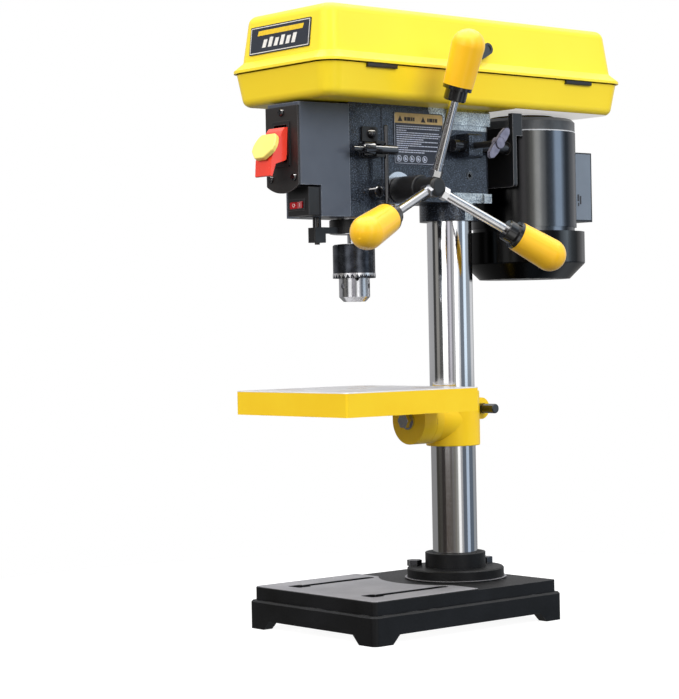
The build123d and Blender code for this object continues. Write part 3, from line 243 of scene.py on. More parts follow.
def table_paint(top_z):
    """Yellow paint, thin at the rims, below a top ground to bare iron."""
    p = Paint("table_paint", rough=0.35, coat=0.1, coat_rough=0.2, specular=0.25)
    paint = p.ramp(p.noise(14, 4), (0.3, (0.95, 0.62, 0.014)), (0.7, (0.99, 0.70, 0.024)))
    chips = p.patchy_edges(0.8, 0.2, 0.6, p.noise(90, 5), (0.52, 0.0), (0.60, 0.85))
    paint = p.mix(chips, paint, (0.10, 0.09, 0.08))
    top = p.above(Z, top_z - 1.0 * MM)
    lines = p.noise(420, 4, 0.7, p.stretched((0.05, 1, 1)))
    stains = p.ramp(p.noise(24, 4), (0.35, (0.68, 0.68, 0.69)), (0.7, (0.52, 0.52, 0.54)))
    p.colour(p.mix(top, paint, stains))
    p.metal(p.maths("MULTIPLY", top, 0.35))
    p.bump(p.mix(top, p.noise(420, 3), lines), 0.04, 0.6)
    p.rough(p.noise(40, 3), 0.30, 0.42)
    return p.material


# The rim and foot of the head that get a painted highlight: their height, their length from its rear,
# and its half width.
RIM_H, RIM_LONG = 20 * MM, 81 * MM
FOOT_H, FOOT_LONG = 26.5 * MM, 51 * MM
HEAD_SIDE = 28.5 * MM


def lit_ends(p):
    """1 where the head's rear rim and lower rear corner get a painted highlight, 0 elsewhere."""
    (_, _, bottom), (_, rear, top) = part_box("head_casting")
    rim = p.maths("MULTIPLY", p.above(Z, top - RIM_H), p.above(Y, rear - RIM_LONG))
    foot = p.maths("MULTIPLY", p.below(Z, bottom + FOOT_H), p.above(Y, rear - FOOT_LONG))
    side = p.maths("GREATER_THAN", p.maths("ABSOLUTE", p.axis(X)), HEAD_SIDE)
    spot = p.maths("MULTIPLY", p.maths("MAXIMUM", rim, foot), side)
    return p.maths("MULTIPLY", spot, p.ramp(p.noise(60, 3), (0.30, 0.35), (0.6, 0.95)))


def hammertone():
    """Dark hammered enamel: small dimples with silvery blue flecks between them."""
    p = Paint("hammertone", rough=0.28, metal=0.5, coat=0.3, coat_rough=0.12)
    cells = p.cells(560, 0.5)
    flecks = p.noise(900, 3, 0.6)
    dark = p.ramp(p.noise(140, 3), (0.3, (0.008, 0.011, 0.016)), (0.75, (0.026, 0.033, 0.048)))
    enamel = p.mix(p.ramp(flecks, (0.52, 0.0), (0.68, 0.7)), dark, (0.22, 0.27, 0.36))
    # Painted highlight: patches of bluish white on the rim and foot, standing for light falling on
    # them.
    painted_highlight = p.ramp(p.noise(700, 4), (0.34, (0.20, 0.25, 0.33)), (0.58, (0.88, 0.97, 1.0)))
    p.colour(p.mix(lit_ends(p), enamel, painted_highlight))
    p.bump(cells, 0.24, 0.8)
    p.bump(flecks, 0.06, 0.7)
    p.rough(p.noise(120, 3), 0.22, 0.38)
    return p.material


def casting_black(name, top_z=None):
    """Black painted casting: coarse skin, worn edges, and a milled pad if it has a top."""
    p = Paint(name, rough=0.45, specular=0.22)
    grain = p.noise(420, 5, 0.6)
    base = p.ramp(p.noise(26, 4), (0.3, (0.004, 0.004, 0.004)), (0.75, (0.009, 0.0095, 0.011)))
    wear_and_highlight = p.patchy_edges(0.9, 0.15, 0.7, p.noise(80, 4), (0.50, 0.0), (0.66, 0.7))
    colour = p.mix(wear_and_highlight, base, (0.14, 0.14, 0.145))
    height = grain
    if top_z:
        milled = p.above(Z, top_z - 0.25 * MM)
        lines = p.noise(300, 3, 0.6, p.stretched((0.06, 1, 1)))
        bare = p.ramp(p.noise(20, 3), (0.3, (0.26, 0.26, 0.28)), (0.7, (0.36, 0.36, 0.38)))
        colour = p.mix(milled, colour, bare)
        height = p.mix(milled, grain, lines)
        p.metal(p.maths("MULTIPLY", milled, 0.5))
    p.colour(colour)
    p.bump(height, 0.20, 0.7)
    p.rough(grain, 0.34, 0.56)
    return p.material


def column_steel():
    """Ground tube: bright, with fine rings round it."""
    p = Paint("column_steel", rough=0.10, metal=1.0)
    rings = p.noise(900, 3, 0.6, p.stretched((0.02, 0.02, 1)))
    cloud = p.noise(30, 3, 0.5, p.stretched((1, 1, 0.15)))
    p.colour(p.ramp(cloud, (0.3, (0.72, 0.72, 0.73)), (0.7, (0.82, 0.82, 0.83))))
    p.rough(rings, 0.05, 0.13)
    p.bump(rings, 0.004, 0.4)
    return p.material


def turned_steel(name, base, low=0.15, high=0.3, scale=700):
    """Turned or drawn steel with fine marks."""
    p = Paint(name, rough=low, metal=1.0)
    marks = p.noise(scale, 3, 0.6)
    p.colour(p.ramp(p.noise(50, 3), (0.3, tuple(v * 0.85 for v in base)), (0.7, base)))
    p.rough(marks, low, high)
    p.bump(marks, 0.01, 0.4)
    return p.material


TEETH = 28
TEETH_H = 3.6 * MM
BAND_H = 4.6 * MM


def sleeve_black():
    """Blackened chuck sleeve with a bright band that ends below in pointed teeth."""
    p = Paint("sleeve_black", rough=0.3, metal=0.9)
    (_, front, bottom), (_, rear, _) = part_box("chuck_sleeve")
    turn = p.maths("ARCTAN2", p.maths("SUBTRACT", p.axis(Y), (front + rear) / 2), p.axis(X))
    saw = p.maths("PINGPONG", p.maths("MULTIPLY", turn, TEETH / (2 * pi)), 0.5)
    rise = p.maths("DIVIDE", p.maths("SUBTRACT", p.axis(Z), bottom), TEETH_H * 2)
    bright = p.maths("MULTIPLY", p.maths("GREATER_THAN", rise, saw), p.below(Z, bottom + BAND_H))
    black = p.ramp(p.noise(120, 4), (0.35, (0.030, 0.033, 0.040)), (0.7, (0.085, 0.092, 0.110)))
    p.colour(p.mix(bright, black, (0.78, 0.78, 0.80)))
    p.rough(p.noise(240, 4), 0.16, 0.38)
    p.bump(p.noise(500, 3), 0.015, 0.4)
    return p.material


def black_oxide():
    """Blackened steel under an oil film, worn brighter on its edges."""
    p = Paint("black_oxide", rough=0.2, metal=0.6, coat=0.6, coat_rough=0.06)
    wear_and_highlight = p.patchy_edges(0.6, 0.1, 0.5, p.noise(200, 3), (0.4, 0.2), (0.6, 1.0))
    p.colour(p.mix(wear_and_highlight, (0.020, 0.020, 0.023), (0.45, 0.45, 0.46)))
    p.rough(p.noise(300, 4), 0.14, 0.30)
    p.bump(p.noise(600, 3), 0.015, 0.4)
    return p.material


def plastic(name, colour, rough=0.4, grain=0.03, scale=900, coat=0.0, edge=None, edge_highlight_mm=0.7):
    """Moulded plastic: fine grain, a slight mottle and, if asked, edges lightened to another tone as
    a painted highlight.
    """
    p = Paint(name, rough=rough, coat=coat, coat_rough=0.1)
    shade = tuple(v * 0.88 for v in colour)
    tone = p.ramp(p.noise(35, 2), (0.3, shade), (0.7, colour))
    if edge:
        # Painted highlight: the edges take the lighter edge colour.
        tone = p.mix(p.ramp(p.edges(edge_highlight_mm), (0.1, 0.0), (0.5, 0.8)), tone, edge)
    p.colour(tone)
    p.rough(p.noise(160, 3), rough * 0.85, min(1.0, rough * 1.2))
    p.bump(p.noise(scale, 2), grain, 0.5)
    return p.material


def grip_plastic():
    """Smooth orange-yellow grips with a pale sheen at their outlines."""
    p = Paint("grip_plastic", rough=0.33, coat=0.25, coat_rough=0.18)
    p.shader.inputs["Sheen Weight"].default_value = 0.5
    p.shader.inputs["Sheen Roughness"].default_value = 0.25
    p.colour(p.ramp(p.noise(35, 2), (0.3, (1.0, 0.55, 0.014)), (0.7, (1.0, 0.60, 0.020))))
    p.rough(p.noise(160, 3), 0.28, 0.38)
    p.bump(p.noise(900, 2), 0.006, 0.5)
    return p.material


def cover_plastic():
    """Slate grey moulding whose edges are lightened in patches as a painted highlight."""
    p = Paint("front_cover_plastic", rough=0.36, coat=0.2, coat_rough=0.12)
    # Painted highlight: lightened patches along the edges, standing for light caught on them.
    wear_and_highlight = p.patchy_edges(0.7, 0.1, 0.5, p.noise(260, 3), (0.4, 0.3), (0.6, 1.0))
    slate = p.ramp(p.noise(22, 3), (0.3, (0.062, 0.074, 0.100)), (0.7, (0.084, 0.100, 0.132)))
    p.colour(p.mix(wear_and_highlight, slate, (0.40, 0.44, 0.52)))
    p.rough(p.noise(160, 3), 0.30, 0.42)
    p.bump(p.noise(700, 2), 0.02, 0.5)
    return p.material


def motor_black(name, *sheen):
    """Satin black sheet steel with painted reflections: its colour runs in bands of sheen from the
    shell's front, at 0, to its rear, at 1.
    """
    p = Paint(name, rough=0.2, metal=1.0)
    (_, y0, _), (_, y1, _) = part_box("motor_shell")
    across = p.maths("DIVIDE", p.maths("SUBTRACT", p.axis(Y), y0), y1 - y0)
    cloud = p.ramp(p.noise(20, 3), (0.3, 0.5), (0.7, 1.0))
    # The colour follows the painted reflection bands.
    p.colour(p.mix(0.25, p.ramp(across, *sheen), cloud, "MULTIPLY"))
    p.rough(p.noise(160, 4), 0.15, 0.24)
    p.bump(p.noise(400, 2), 0.008, 0.4)
    return p.material


def bell_grey(highlight_top_z):
    """Grey cast end bell with a painted highlight, a light grey line along its foot."""
    p = Paint("bell_grey", rough=0.34, coat=0.2, coat_rough=0.15)
    cast = p.ramp(p.noise(120, 4), (0.3, (0.040, 0.043, 0.048)), (0.7, (0.070, 0.076, 0.084)))
    # Painted highlight: light grey below the given height.
    p.colour(p.mix(p.below(Z, highlight_top_z), cast, (0.62, 0.64, 0.68)))
    p.rough(p.noise(160, 3), 0.30, 0.42)
    p.bump(p.noise(300, 3), 0.05, 0.5)
    return p.material


def capacitor_grey():
    """Slate box darkened to near black along its top, bottom and rear rims: painted shade."""
    p = Paint("capacitor_grey", rough=0.35, coat=0.2, coat_rough=0.1)
    (_, _, z0), (_, y1, z1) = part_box("capacitor_box")
    # Painted shade: these rims turn near black.
    ends = p.maths("MAXIMUM", p.above(Z, z1 - 1.4 * MM), p.below(Z, z0 + 2.0 * MM))
    rim = p.maths("MAXIMUM", p.above(Y, y1 - 3.4 * MM), ends)
    slate = p.ramp(p.noise(35, 2), (0.3, (0.155, 0.187, 0.233)), (0.7, (0.175, 0.212, 0.265)))
    p.colour(p.mix(rim, slate, (0.008, 0.008, 0.010)))
    p.rough(p.noise(160, 3), 0.30, 0.42)
    p.bump(p.noise(500, 2), 0.02, 0.5)
    return p.material


def glint_black():
    """Oiled black steel with a painted highlight: its shoulders, turned part way upwards, are
    coloured white.
    """
    p = Paint("glint_black", rough=0.16, coat=1.0, coat_rough=0.05)
    tilt = p.new("ShaderNodeSeparateXYZ")
    p.join(p.new("ShaderNodeNewGeometry").outputs["Normal"], tilt.inputs[0])
    # Painted highlight: white on faces turned part way up, standing for reflections.
    wear_and_highlight = p.ramp(tilt.outputs[2], (0.42, 0.0), (0.47, 1.0), (0.62, 1.0), (0.67, 0.0))
    p.colour(p.mix(wear_and_highlight, (0.006, 0.006, 0.008), (1.0, 1.0, 1.0)))
    p.rough(p.noise(300, 4), 0.12, 0.22)
    p.bump(p.noise(600, 3), 0.01, 0.4)
    return p.material


def wing_zinc(shank_x):
    """Cast zinc wings, their edges darkened to near black as painted shade, on a near-black screw."""
    p = Paint("wing_zinc", rough=0.5, metal=0.4)
    screw = p.below(X, shank_x)
    zinc = p.ramp(p.noise(160, 4), (0.3, (0.17, 0.17, 0.24)), (0.7, (0.28, 0.28, 0.37)))
    # Painted shade: the wings' edges darkened to near black.
    zinc = p.mix(p.ramp(p.edges(1.4), (0.08, 0.0), (0.35, 0.95)), zinc, (0.02, 0.02, 0.025))
    p.colour(p.mix(screw, zinc, (0.02, 0.02, 0.022)))
    p.rough(p.noise(200, 3), 0.42, 0.58)
    p.bump(p.noise(420, 3), 0.03, 0.5)
    return p.material


def belt_rubber():
    p = Paint("belt_rubber", rough=0.75)
    fabric = p.noise(1100, 2, 0.5)
    p.colour(p.ramp(p.noise(60, 3), (0.3, (0.012, 0.012, 0.012)), (0.7, (0.03, 0.03, 0.03))))
    p.bump(fabric, 0.08, 0.8)
    p.rough(fabric, 0.65, 0.85)
    return p.material


# ---------------------------------------------------------------- dressing the CAD nodes

SATIN_BLACK = (0.014, 0.014, 0.015)
DEEP_BLACK = (0.010, 0.010, 0.011)


def wear(material, *names):
    """Gives these CAD nodes a material."""
    for name in names:
        obj = NODES[name]
        obj.data.materials.clear()
        obj.data.materials.append(material)


def dress_castings():
    wear(casting_black("base_paint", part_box("base")[1][2]), "base")
    wear(casting_black("flange_paint"), "column_flange")
    wear(column_steel(), "column")
    wear(table_paint(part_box("table")[1][2]), "table", "table_bracket")
    wear(hammertone(), "head_casting")
    wear(gloss_yellow("lid_paint", (0.98, 0.76, 0.040), (0.99, 0.80, 0.052)), "cover_lid")
    # The tray floor's light grey, glowing lining (painted light) lies below this height.
    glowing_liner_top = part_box("belt_tray")[0][2] + 0.4 * MM
    wear(gloss_yellow("tray_paint", (0.98, 0.73, 0.026), (0.99, 0.78, 0.034), glowing_liner_top), "belt_tray")


def dress_plastics():
    wear(cover_plastic(), "front_cover")
    wear(plastic("black_plastic", SATIN_BLACK, 0.36),
         "feed_hub", "lid_bumpers", "key_holder", "depth_collar")
    # The switch housings and the switch plate get painted highlights on their edges.
    wear(plastic("switch_black", SATIN_BLACK, 0.36, edge=(0.11, 0.11, 0.12)),
         "switch_housing", "laser_switch_box")
    wear(plastic("gloss_black", DEEP_BLACK, 0.16, 0.01, 900, 0.6),
         "grip_collars", "lid_latch", "table_lock_handle")
    wear(plastic("switch_plate_black", (0.024, 0.0225, 0.0225), 0.45, edge=(0.16, 0.16, 0.17)),
         "switch_plate")
    wear(plastic("red_plastic", (0.98, 0.065, 0.036), 0.25, 0.006, 900, 0.4), "switch_paddle")
    wear(plastic("key_plastic", (0.99, 0.83, 0.20), 0.3, 0.01, 900, 0.3), "safety_key")
    wear(plastic("rocker_red", (0.42, 0.012, 0.018), 0.2, 0.006, 900, 0.6), "laser_rocker")
    wear(plastic("label_black", (0.030, 0.036, 0.052), 0.35), "warning_plate", "lid_badge")
    wear(grip_plastic(), "grips")
    wear(belt_rubber(), "v_belt")


def dress_metals():
    wear(turned_steel("zinc", (0.80, 0.80, 0.82), 0.10, 0.22), "feed_rods", "depth_nuts")
    wear(wing_zinc(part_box("wing_bolt")[1][0] - 9 * MM), "wing_bolt")
    wear(turned_steel("bright_steel", (0.62, 0.62, 0.64)),
         "quill", "quill_bearings", "spindle", "chuck_body", "chuck_jaw_1", "chuck_jaw_2",
         "chuck_jaw_3", "pinion_shaft", "tilt_bolt", "motor_rotor")
    wear(turned_steel("aluminium", (0.66, 0.67, 0.70), 0.2, 0.36, 500),
         "feed_bush", "spindle_pulley", "motor_pulley")
    wear(sleeve_black(), "chuck_sleeve")
    wear(black_oxide(),
         "column_flange_bolts", "head_set_screws", "spring_cap", "lid_hinge_leaves",
         "tray_hinge_leaves", "depth_rod", "slide_rods")
    wear(glint_black(),
         "chuck_key", "key_bar", "key_holder_screw", "quill_guide_screw", "switch_plate_screws")


def dress_motor():
    # Painted reflections: light and bluish bands across the motor, and a highlight band on the fan
    # cover.
    shell = ((0.10, (0.014, 0.014, 0.014)), (0.22, (0.12, 0.12, 0.115)), (0.36, (0.12, 0.125, 0.13)),
             (0.45, (0.24, 0.26, 0.30)), (0.52, (0.22, 0.24, 0.28)), (0.58, (0.05, 0.056, 0.066)),
             (1.0, (0.035, 0.04, 0.048)))
    cover = ((0.30, 0.012), (0.44, 0.07), (0.50, 0.12), (0.56, 0.10), (0.64, 0.02))
    wear(motor_black("motor_black", *shell), "motor_shell")
    wear(motor_black("fan_black", *cover), "fan_cover")
    # The mount's edges get a painted highlight.
    mount = plastic("mount_black", DEEP_BLACK, 0.34, 0.02, 400, 0.2, (0.34, 0.34, 0.36), 1.0)
    wear(mount, "motor_mount")
    wear(bell_grey(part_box("motor_end_bell")[0][2] + 1.1 * MM), "motor_end_bell")
    wear(capacitor_grey(), "capacitor_box")


# ---------------------------------------------------------------- printing

INK = 0.12 * MM


def slab(mesh, corners, lift):
    """Adds a flat outline, raised a little, to a bmesh: its top and its sides."""
    low = [mesh.verts.new(c) for c in corners]
    high = [mesh.verts.new(Vector(c) + lift) for c in corners]
    mesh.faces.new(high)
    mesh.faces.new(reversed(low))
    for i in range(len(low)):
        j = (i + 1) % len(low)
        mesh.faces.new((low[i], low[j], high[j], high[i]))


def printed(name, body, outlines, place, material):
    """One piece of print on a body: flat outlines in millimetres, laid on the plane of a frame."""
    mesh = bmesh.new()
    normal = place.to_3x3() @ Vector((0, 0, INK))
    for outline in outlines:
        slab(mesh, [place @ Vector((x * MM, y * MM, 0)) for x, y in outline], normal)
    data = bpy.data.meshes.new(name)
    mesh.to_mesh(data)
    mesh.free()
    obj = bpy.data.objects.new(name, data)
    data.materials.append(material)
    bpy.context.scene.collection.objects.link(obj)
    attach(obj, body)


def bar(x0, y0, x1, y1):
    """A rectangle from corner to corner."""
    return [(x0, y0), (x1, y0), (x1, y1), (x0, y1)]


def ring(x, y, r, width, steps=20):
    """A ring as short flat segments."""

    def point(radius, turn):
        return x + radius * cos(turn), y + radius * sin(turn)

    inner = r - width
    segments = []
    for i in range(steps):
        a, b = 2 * pi * i / steps, 2 * pi * (i + 1) / steps
        segments.append([point(r, a), point(r, b), point(inner, b), point(inner, a)])
    return segments


STROKE = (1.4, 3.4)
STROKE_GAP = 0.55


def words(x0, x1, y, height, seed):
    """One line of print: a row of short strokes of uneven length with gaps between them."""
    strokes, x, state = [], x0, seed * 7 + 3
    while x < x1:
        state = (state * 29 + 11) % 97
        length = STROKE[0] + STROKE[1] * state / 97
        strokes.append(bar(x, y, min(x + length, x1), y + height))
        x += length + STROKE_GAP
    return strokes


def ink(name, colour, rough=0.45):
    """Printing ink with a slight mottle."""
    p = Paint(name, rough=rough)
    p.colour(p.ramp(p.noise(300, 2), (0.3, tuple(v * 0.85 for v in colour)), (0.7, colour)))
    p.bump(p.noise(900, 2), 0.01, 0.3)
    return p.material


def facing(origin, across, up):
    """A frame on a face: X across, Y up, Z out of the face."""
    across, up = Vector(across).normalized(), Vector(up).normalized()
    turn = Matrix((across, up, across.cross(up))).transposed()
    return Matrix.Translation(origin) @ turn.to_4x4()


# The warning plate's print, in millimetres on its face.
HEADER_H = 9.6
TOP_MARGIN = 1.0
PRINT_LEFT = 3.4
PRINT_H = 0.85
PRINT_PITCH = 2.05
# How much of the plate's width each line of print fills.
PRINT_LINES = (1.0, 0.97, 0.22, 0.96, 1.0, 0.94, 0.60, 0.93, 0.55, 0.97, 0.25, 0.9, 0.62)
SIGNS = 5
SIGN_FIRST, SIGN_PITCH, SIGN_HEIGHT = 6.2, 8.2, 5.4
SIGN_R, SIGN_LINE = 3.1, 0.6


def header_outline(w, top):
    """The header's field, with its two upper corners cut."""
    side, corner = 1.2, 1.6
    return [(side, top - HEADER_H), (w - side, top - HEADER_H), (w - side, top - corner),
            (w - side - corner, top), (side + corner, top), (side, top - corner)]


def header_marks(w, top):
    """Two hazard triangles, each with a word after it."""
    marks = []
    for start in (5.0, w / 2 + 2.5):
        marks.append([(start, top - 8.0), (start + 6.0, top - 8.0), (start + 3.0, top - 2.6)])
        marks += words(start + 8.4, start + 21.5, top - 7.4, 3.6, int(start))
    return marks


def small_print(w, top):
    """Lines of print, a row of round signs and a thin frame round the plate."""
    rows = []
    first = top - HEADER_H - 3.2
    for index, share in enumerate(PRINT_LINES):
        end = PRINT_LEFT + (w - 7.2) * share
        rows += words(PRINT_LEFT, end, first - PRINT_PITCH * index, PRINT_H, index + 1)
    for index in range(SIGNS):
        x = SIGN_FIRST + SIGN_PITCH * index
        rows += ring(x, SIGN_HEIGHT, SIGN_R, SIGN_LINE)
        rows.append(bar(x - 1.3, 4.0, x + 0.1, 7.0))
        rows.append([(x + 0.3, 4.2), (x + 1.7, 4.2), (x + 0.9, 6.4)])
    edge, line = 0.8, 0.3
    rows += [bar(edge, edge, w - edge, edge + line), bar(edge, edge, edge + line, top),
             bar(w - edge - line, edge, w - edge, top)]
    return rows


def print_warning_plate():
    """A pale header with two hazard triangles, blocks of small print and a row of round signs."""
    (_, y0, z0), (x1, y1, z1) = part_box("warning_plate")
    face = facing((x1, y0, z0), (0, 1, 0), (0, 0, 1))
    over_header = facing((x1 + INK, y0, z0), (0, 1, 0), (0, 0, 1))
    w, top = (y1 - y0) / MM, (z1 - z0) / MM - TOP_MARGIN
    pale = ink("header_ink", (0.72, 0.53, 0.25))
    light = ink("label_ink", (0.62, 0.68, 0.84))
    dark = ink("label_dark_ink", (0.035, 0.025, 0.02))
    printed("label_header", "frame", [header_outline(w, top)], face, pale)
    printed("label_header_marks", "frame", header_marks(w, top), over_header, dark)
    printed("label_print", "frame", small_print(w, top), face, light)


LID_LEAN = radians(7.13)


def print_badge():
    """A plain badge: a white rim and slanted stripes on black."""
    (x0, y0, z0), (x1, y1, z1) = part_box("lid_badge")
    up = (0, sin(LID_LEAN), cos(LID_LEAN))
    middle = Vector(((x0 + x1) / 2, (y0 + y1) / 2, (z0 + z1) / 2))
    out = Vector((0, -cos(LID_LEAN), sin(LID_LEAN)))
    place = facing(middle + out * 0.5 * MM, (1, 0, 0), up)
    w, h = 43.0, 12.2
    white = ink("badge_white", (0.86, 0.86, 0.84))
    yellow = ink("badge_yellow", (0.90, 0.62, 0.03))
    line, slant = 0.7, 2.2
    rim = [bar(-w, -h, w, -h + line), bar(-w, h - line, w, h),
           bar(-w, -h, -w + line, h), bar(w - line, -h, w, h)]
    low, width = -7.6, 5.2
    for index in range(6):
        x = -25.0 + 8.6 * index
        high = low + 7.5 + 1.5 * (index % 2)
        rim.append([(x, low), (x + width, low), (x + width + slant, high), (x + slant, high)])
    printed("badge_rim", "lid", rim, place, white)
    printed("badge_bar", "lid", [[(-33, 4.2), (33, 4.2), (34.4, 8.8), (-31.6, 8.8)]], place, yellow)


# The directions across the rocker's two faces, which lean apart from its middle.
PRESSED_FACE = (0.9685, -0.249, 0)
RAISED_FACE = (0.992, 0.122, 0)


def print_rocker():
    """A stroke on one end of the rocker and a ring on the other."""
    white = ink("mark_white", (0.80, 0.62, 0.62))
    (x0, y0, z0), (x1, _, z1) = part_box("laser_rocker")
    middle = (z0 + z1) / 2
    face = facing(((x0 + x1) / 2 + 0.0049, y0 + 0.0013, middle), PRESSED_FACE, (0, 0, 1))
    printed("rocker_mark_in", "rocker", [bar(-0.5, -1.5, 0.5, 1.5)], face, white)
    face = facing((x0 + 0.0048, y0 + 0.0018, middle), RAISED_FACE, (0, 0, 1))
    printed("rocker_mark_out", "rocker", ring(0, 0, 1.7, 0.55), face, white)


def print_capacitor():
    """A few short strokes low on the capacitor box."""
    (_, y0, z0), (x1, y1, _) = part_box("capacitor_box")
    dark = ink("capacitor_ink", (0.03, 0.03, 0.035))
    place = facing((x1, (y0 + y1) / 2 + 0.004, z0 + 0.036), (0, 1, 0), (0, 0, 1))
    marks = [bar(-10, -15, -7.6, -8), bar(-6.6, -18, -4.4, -9.5), bar(-9.4, -20, -7.8, -16.4)]
    printed("capacitor_print", "motor", marks, place, dark)


# ---------------------------------------------------------------- stage

# The way the lens looks from, in degrees about the vertical.
LENS_SIDE = -43.4
# Each strip of the studio wall that bright parts mirror: where it ends, in degrees round from the
# lens, its light at eye height and its light lower down.
STRIPS = (
    (-98, (0.42, 0.42, 0.43), (0.26, 0.26, 0.26)),
    (-80, (0.06, 0.06, 0.06), (0.050, 0.048, 0.040)),
    (-63, (0.32, 0.31, 0.29), (0.060, 0.056, 0.050)),
    (-43, (0.12, 0.12, 0.12), (0.035, 0.030, 0.028)),
    (-18, (2.1, 2.1, 2.1), (0.095, 0.080, 0.070)),
    (-7, (0.34, 0.33, 0.37), (0.11, 0.10, 0.09)),
    (3, (0.72, 0.70, 0.76), (0.15, 0.145, 0.14)),
    (12, (0.32, 0.32, 0.34), (0.19, 0.18, 0.16)),
    (23, (0.60, 0.60, 0.60), (0.30, 0.30, 0.28)),
    (37, (2.5, 2.5, 2.5), (1.10, 1.10, 1.08)),
    (48, (0.95, 0.97, 1.0), (0.42, 0.42, 0.43)),
    (70, (0.20, 0.23, 0.27), (0.12, 0.14, 0.17)),
    (94, (0.95, 1.12, 1.28), (0.50, 0.60, 0.74)),
    (118, (0.34, 0.38, 0.42), (0.12, 0.15, 0.19)),
    (150, (0.75, 0.76, 0.78), (0.34, 0.36, 0.38)),
    (262, (0.42, 0.42, 0.43), (0.26, 0.26, 0.26)),
)
EDGE = 1.2
WALL_START = STRIPS[0][0] - 40
LOW_WALL = (-0.055, -0.015)
CEILING_FROM = (0.55, 0.85)
CEILING = (3.2, 3.2, 3.2)
SKY_LOW = (0.16, 0.155, 0.15)
SKY_HIGH = (0.85, 0.85, 0.86)


def make_world():
    """White for the lens, a wall of upright light strips for mirrors, and a soft sky for the rest."""
    world = bpy.data.worlds.new("world")
    world.use_nodes = True
    tree = world.node_tree
    links = tree.links

    def maths(operation, *values):
        node = tree.nodes.new("ShaderNodeMath")
        node.operation = operation
        for socket, value in zip(node.inputs, values):
            if hasattr(value, "links"):
                links.new(value, socket)
            else:
                socket.default_value = value
        return node.outputs[0]

    way = tree.nodes.new("ShaderNodeSeparateXYZ")
    links.new(tree.nodes.new("ShaderNodeTexCoord").outputs["Generated"], way.inputs[0])
    x, y, z = way.outputs
    turn = maths("MULTIPLY", maths("ARCTAN2", y, x), 180 / pi)
    round_wall = maths("FLOORED_MODULO", maths("SUBTRACT", turn, LENS_SIDE + WALL_START), 360.0)
    share = maths("DIVIDE", round_wall, 360.0)

    def band(column):
        """The strips' light round the object, from one column of the table."""
        ramp = tree.nodes.new("ShaderNodeValToRGB")
        links.new(share, ramp.inputs["Fac"])
        stops = []
        for index, strip in enumerate(STRIPS):
            start = WALL_START if index == 0 else STRIPS[index - 1][0]
            end = min(strip[0], WALL_START + 360)
            stops.append(((start - WALL_START + EDGE) / 360, strip[column]))
            stops.append(((end - WALL_START - EDGE) / 360, strip[column]))
        elements = ramp.color_ramp.elements
        while len(elements) < len(stops):
            elements.new(0.5)
        for element, (position, light) in zip(elements, stops):
            element.position = min(1.0, max(0.0, position))
            element.color = (*light, 1)
        return ramp.outputs["Color"]

    def choose(share_of, other, light):
        """Two lights mixed by a share: the other at 0, the light at 1."""
        pick = tree.nodes.new("ShaderNodeMix")
        pick.data_type = "RGBA"
        links.new(share_of, pick.inputs[0])
        for socket, value in ((pick.inputs[6], other), (pick.inputs[7], light)):
            if hasattr(value, "links"):
                links.new(value, socket)
            else:
                socket.default_value = (*value, 1)
        return pick.outputs[2]

    def rising(span, below, above):
        """One light below a span of heights and another above it, with a soft step between."""
        rise = tree.nodes.new("ShaderNodeMapRange")
        rise.interpolation_type = "SMOOTHSTEP"
        rise.inputs["From Min"].default_value = span[0]
        rise.inputs["From Max"].default_value = span[1]
        links.new(z, rise.inputs["Value"])
        return choose(rise.outputs["Result"], below, above)

    wall = rising(CEILING_FROM, rising(LOW_WALL, band(2), band(1)), CEILING)
    sky = tree.nodes.new("ShaderNodeValToRGB")
    links.new(maths("MULTIPLY_ADD", z, 0.5, 0.5), sky.inputs["Fac"])
    sky.color_ramp.elements[0].position = 0.35
    sky.color_ramp.elements[0].color = (*SKY_LOW, 1)
    sky.color_ramp.elements[1].position = 0.8
    sky.color_ramp.elements[1].color = (*SKY_HIGH, 1)
    path = tree.nodes.new("ShaderNodeLightPath")
    seen = choose(path.outputs["Is Glossy Ray"], sky.outputs["Color"], wall)
    seen = choose(path.outputs["Is Camera Ray"], seen, (1.0, 1.0, 1.0))
    links.new(seen, tree.nodes["Background"].inputs["Color"])
    bpy.context.scene.world = world


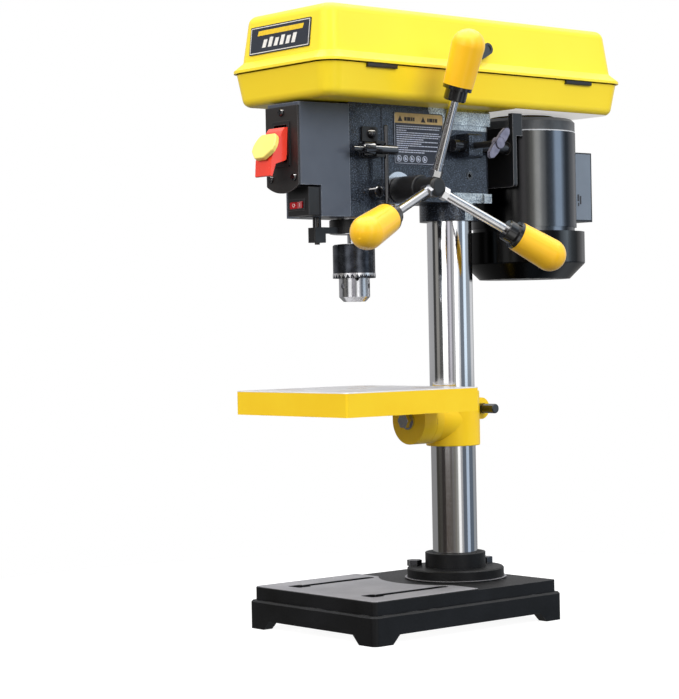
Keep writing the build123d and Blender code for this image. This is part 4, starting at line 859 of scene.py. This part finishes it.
FLOOR_R = 0.62
FLOOR_STEPS = 64
# Each soft light: its name, place, size in metres, power in watts and tint.
LIGHTS = (
    ("key", (2.0, -0.2, 1.5), 1.4, 32, (1.0, 1.0, 1.0)),
    ("front", (-0.3, -2.0, 1.2), 1.2, 25, (1.0, 0.92, 0.86)),
    ("back", (-0.8, 1.9, 1.5), 1.4, 12, (1.0, 1.0, 1.0)),
    ("over", (0.0, 0.0, 2.2), 1.6, 20, (1.0, 1.0, 1.0)),
    ("low", (0.60, 1.05, 0.06), 0.5, 2.5, (1.0, 0.98, 0.95)),
)
LIT_MIDDLE = Vector((0, 0, 0.35))


def make_stage():
    """A pale round floor, and soft lights overhead and at the sides."""
    mesh = bpy.data.meshes.new("floor")
    turns = [2 * pi * i / FLOOR_STEPS for i in range(FLOOR_STEPS)]
    rim = [(FLOOR_R * cos(turn), FLOOR_R * sin(turn), 0) for turn in turns]
    mesh.from_pydata(rim, [], [tuple(range(FLOOR_STEPS))])
    floor = bpy.data.objects.new("floor", mesh)
    p = Paint("floor", rough=0.9, specular=0.1)
    p.colour(p.ramp(p.noise(3, 2), (0.3, 0.22), (0.7, 0.24)))
    p.shader.inputs["Emission Color"].default_value = (1, 1, 1, 1)
    p.shader.inputs["Emission Strength"].default_value = 0.93
    mesh.materials.append(p.material)
    floor.visible_diffuse = False
    floor.visible_glossy = False
    bpy.context.scene.collection.objects.link(floor)
    bpy.context.scene.view_settings.view_transform = "Standard"
    for name, place, size, power, tint in LIGHTS:
        data = bpy.data.lights.new(name, "AREA")
        data.size = size
        data.energy = power
        data.color = tint
        light = bpy.data.objects.new(name, data)
        bpy.context.scene.collection.objects.link(light)
        light.location = place
        light.visible_glossy = False
        light.visible_camera = False
        aim = LIT_MIDDLE - Vector(place)
        light.rotation_euler = aim.to_track_quat("-Z", "Y").to_euler()


make_camera()
dress_castings()
dress_plastics()
dress_metals()
dress_motor()
print_warning_plate()
print_badge()
print_rocker()
print_capacitor()
make_world()
make_stage()
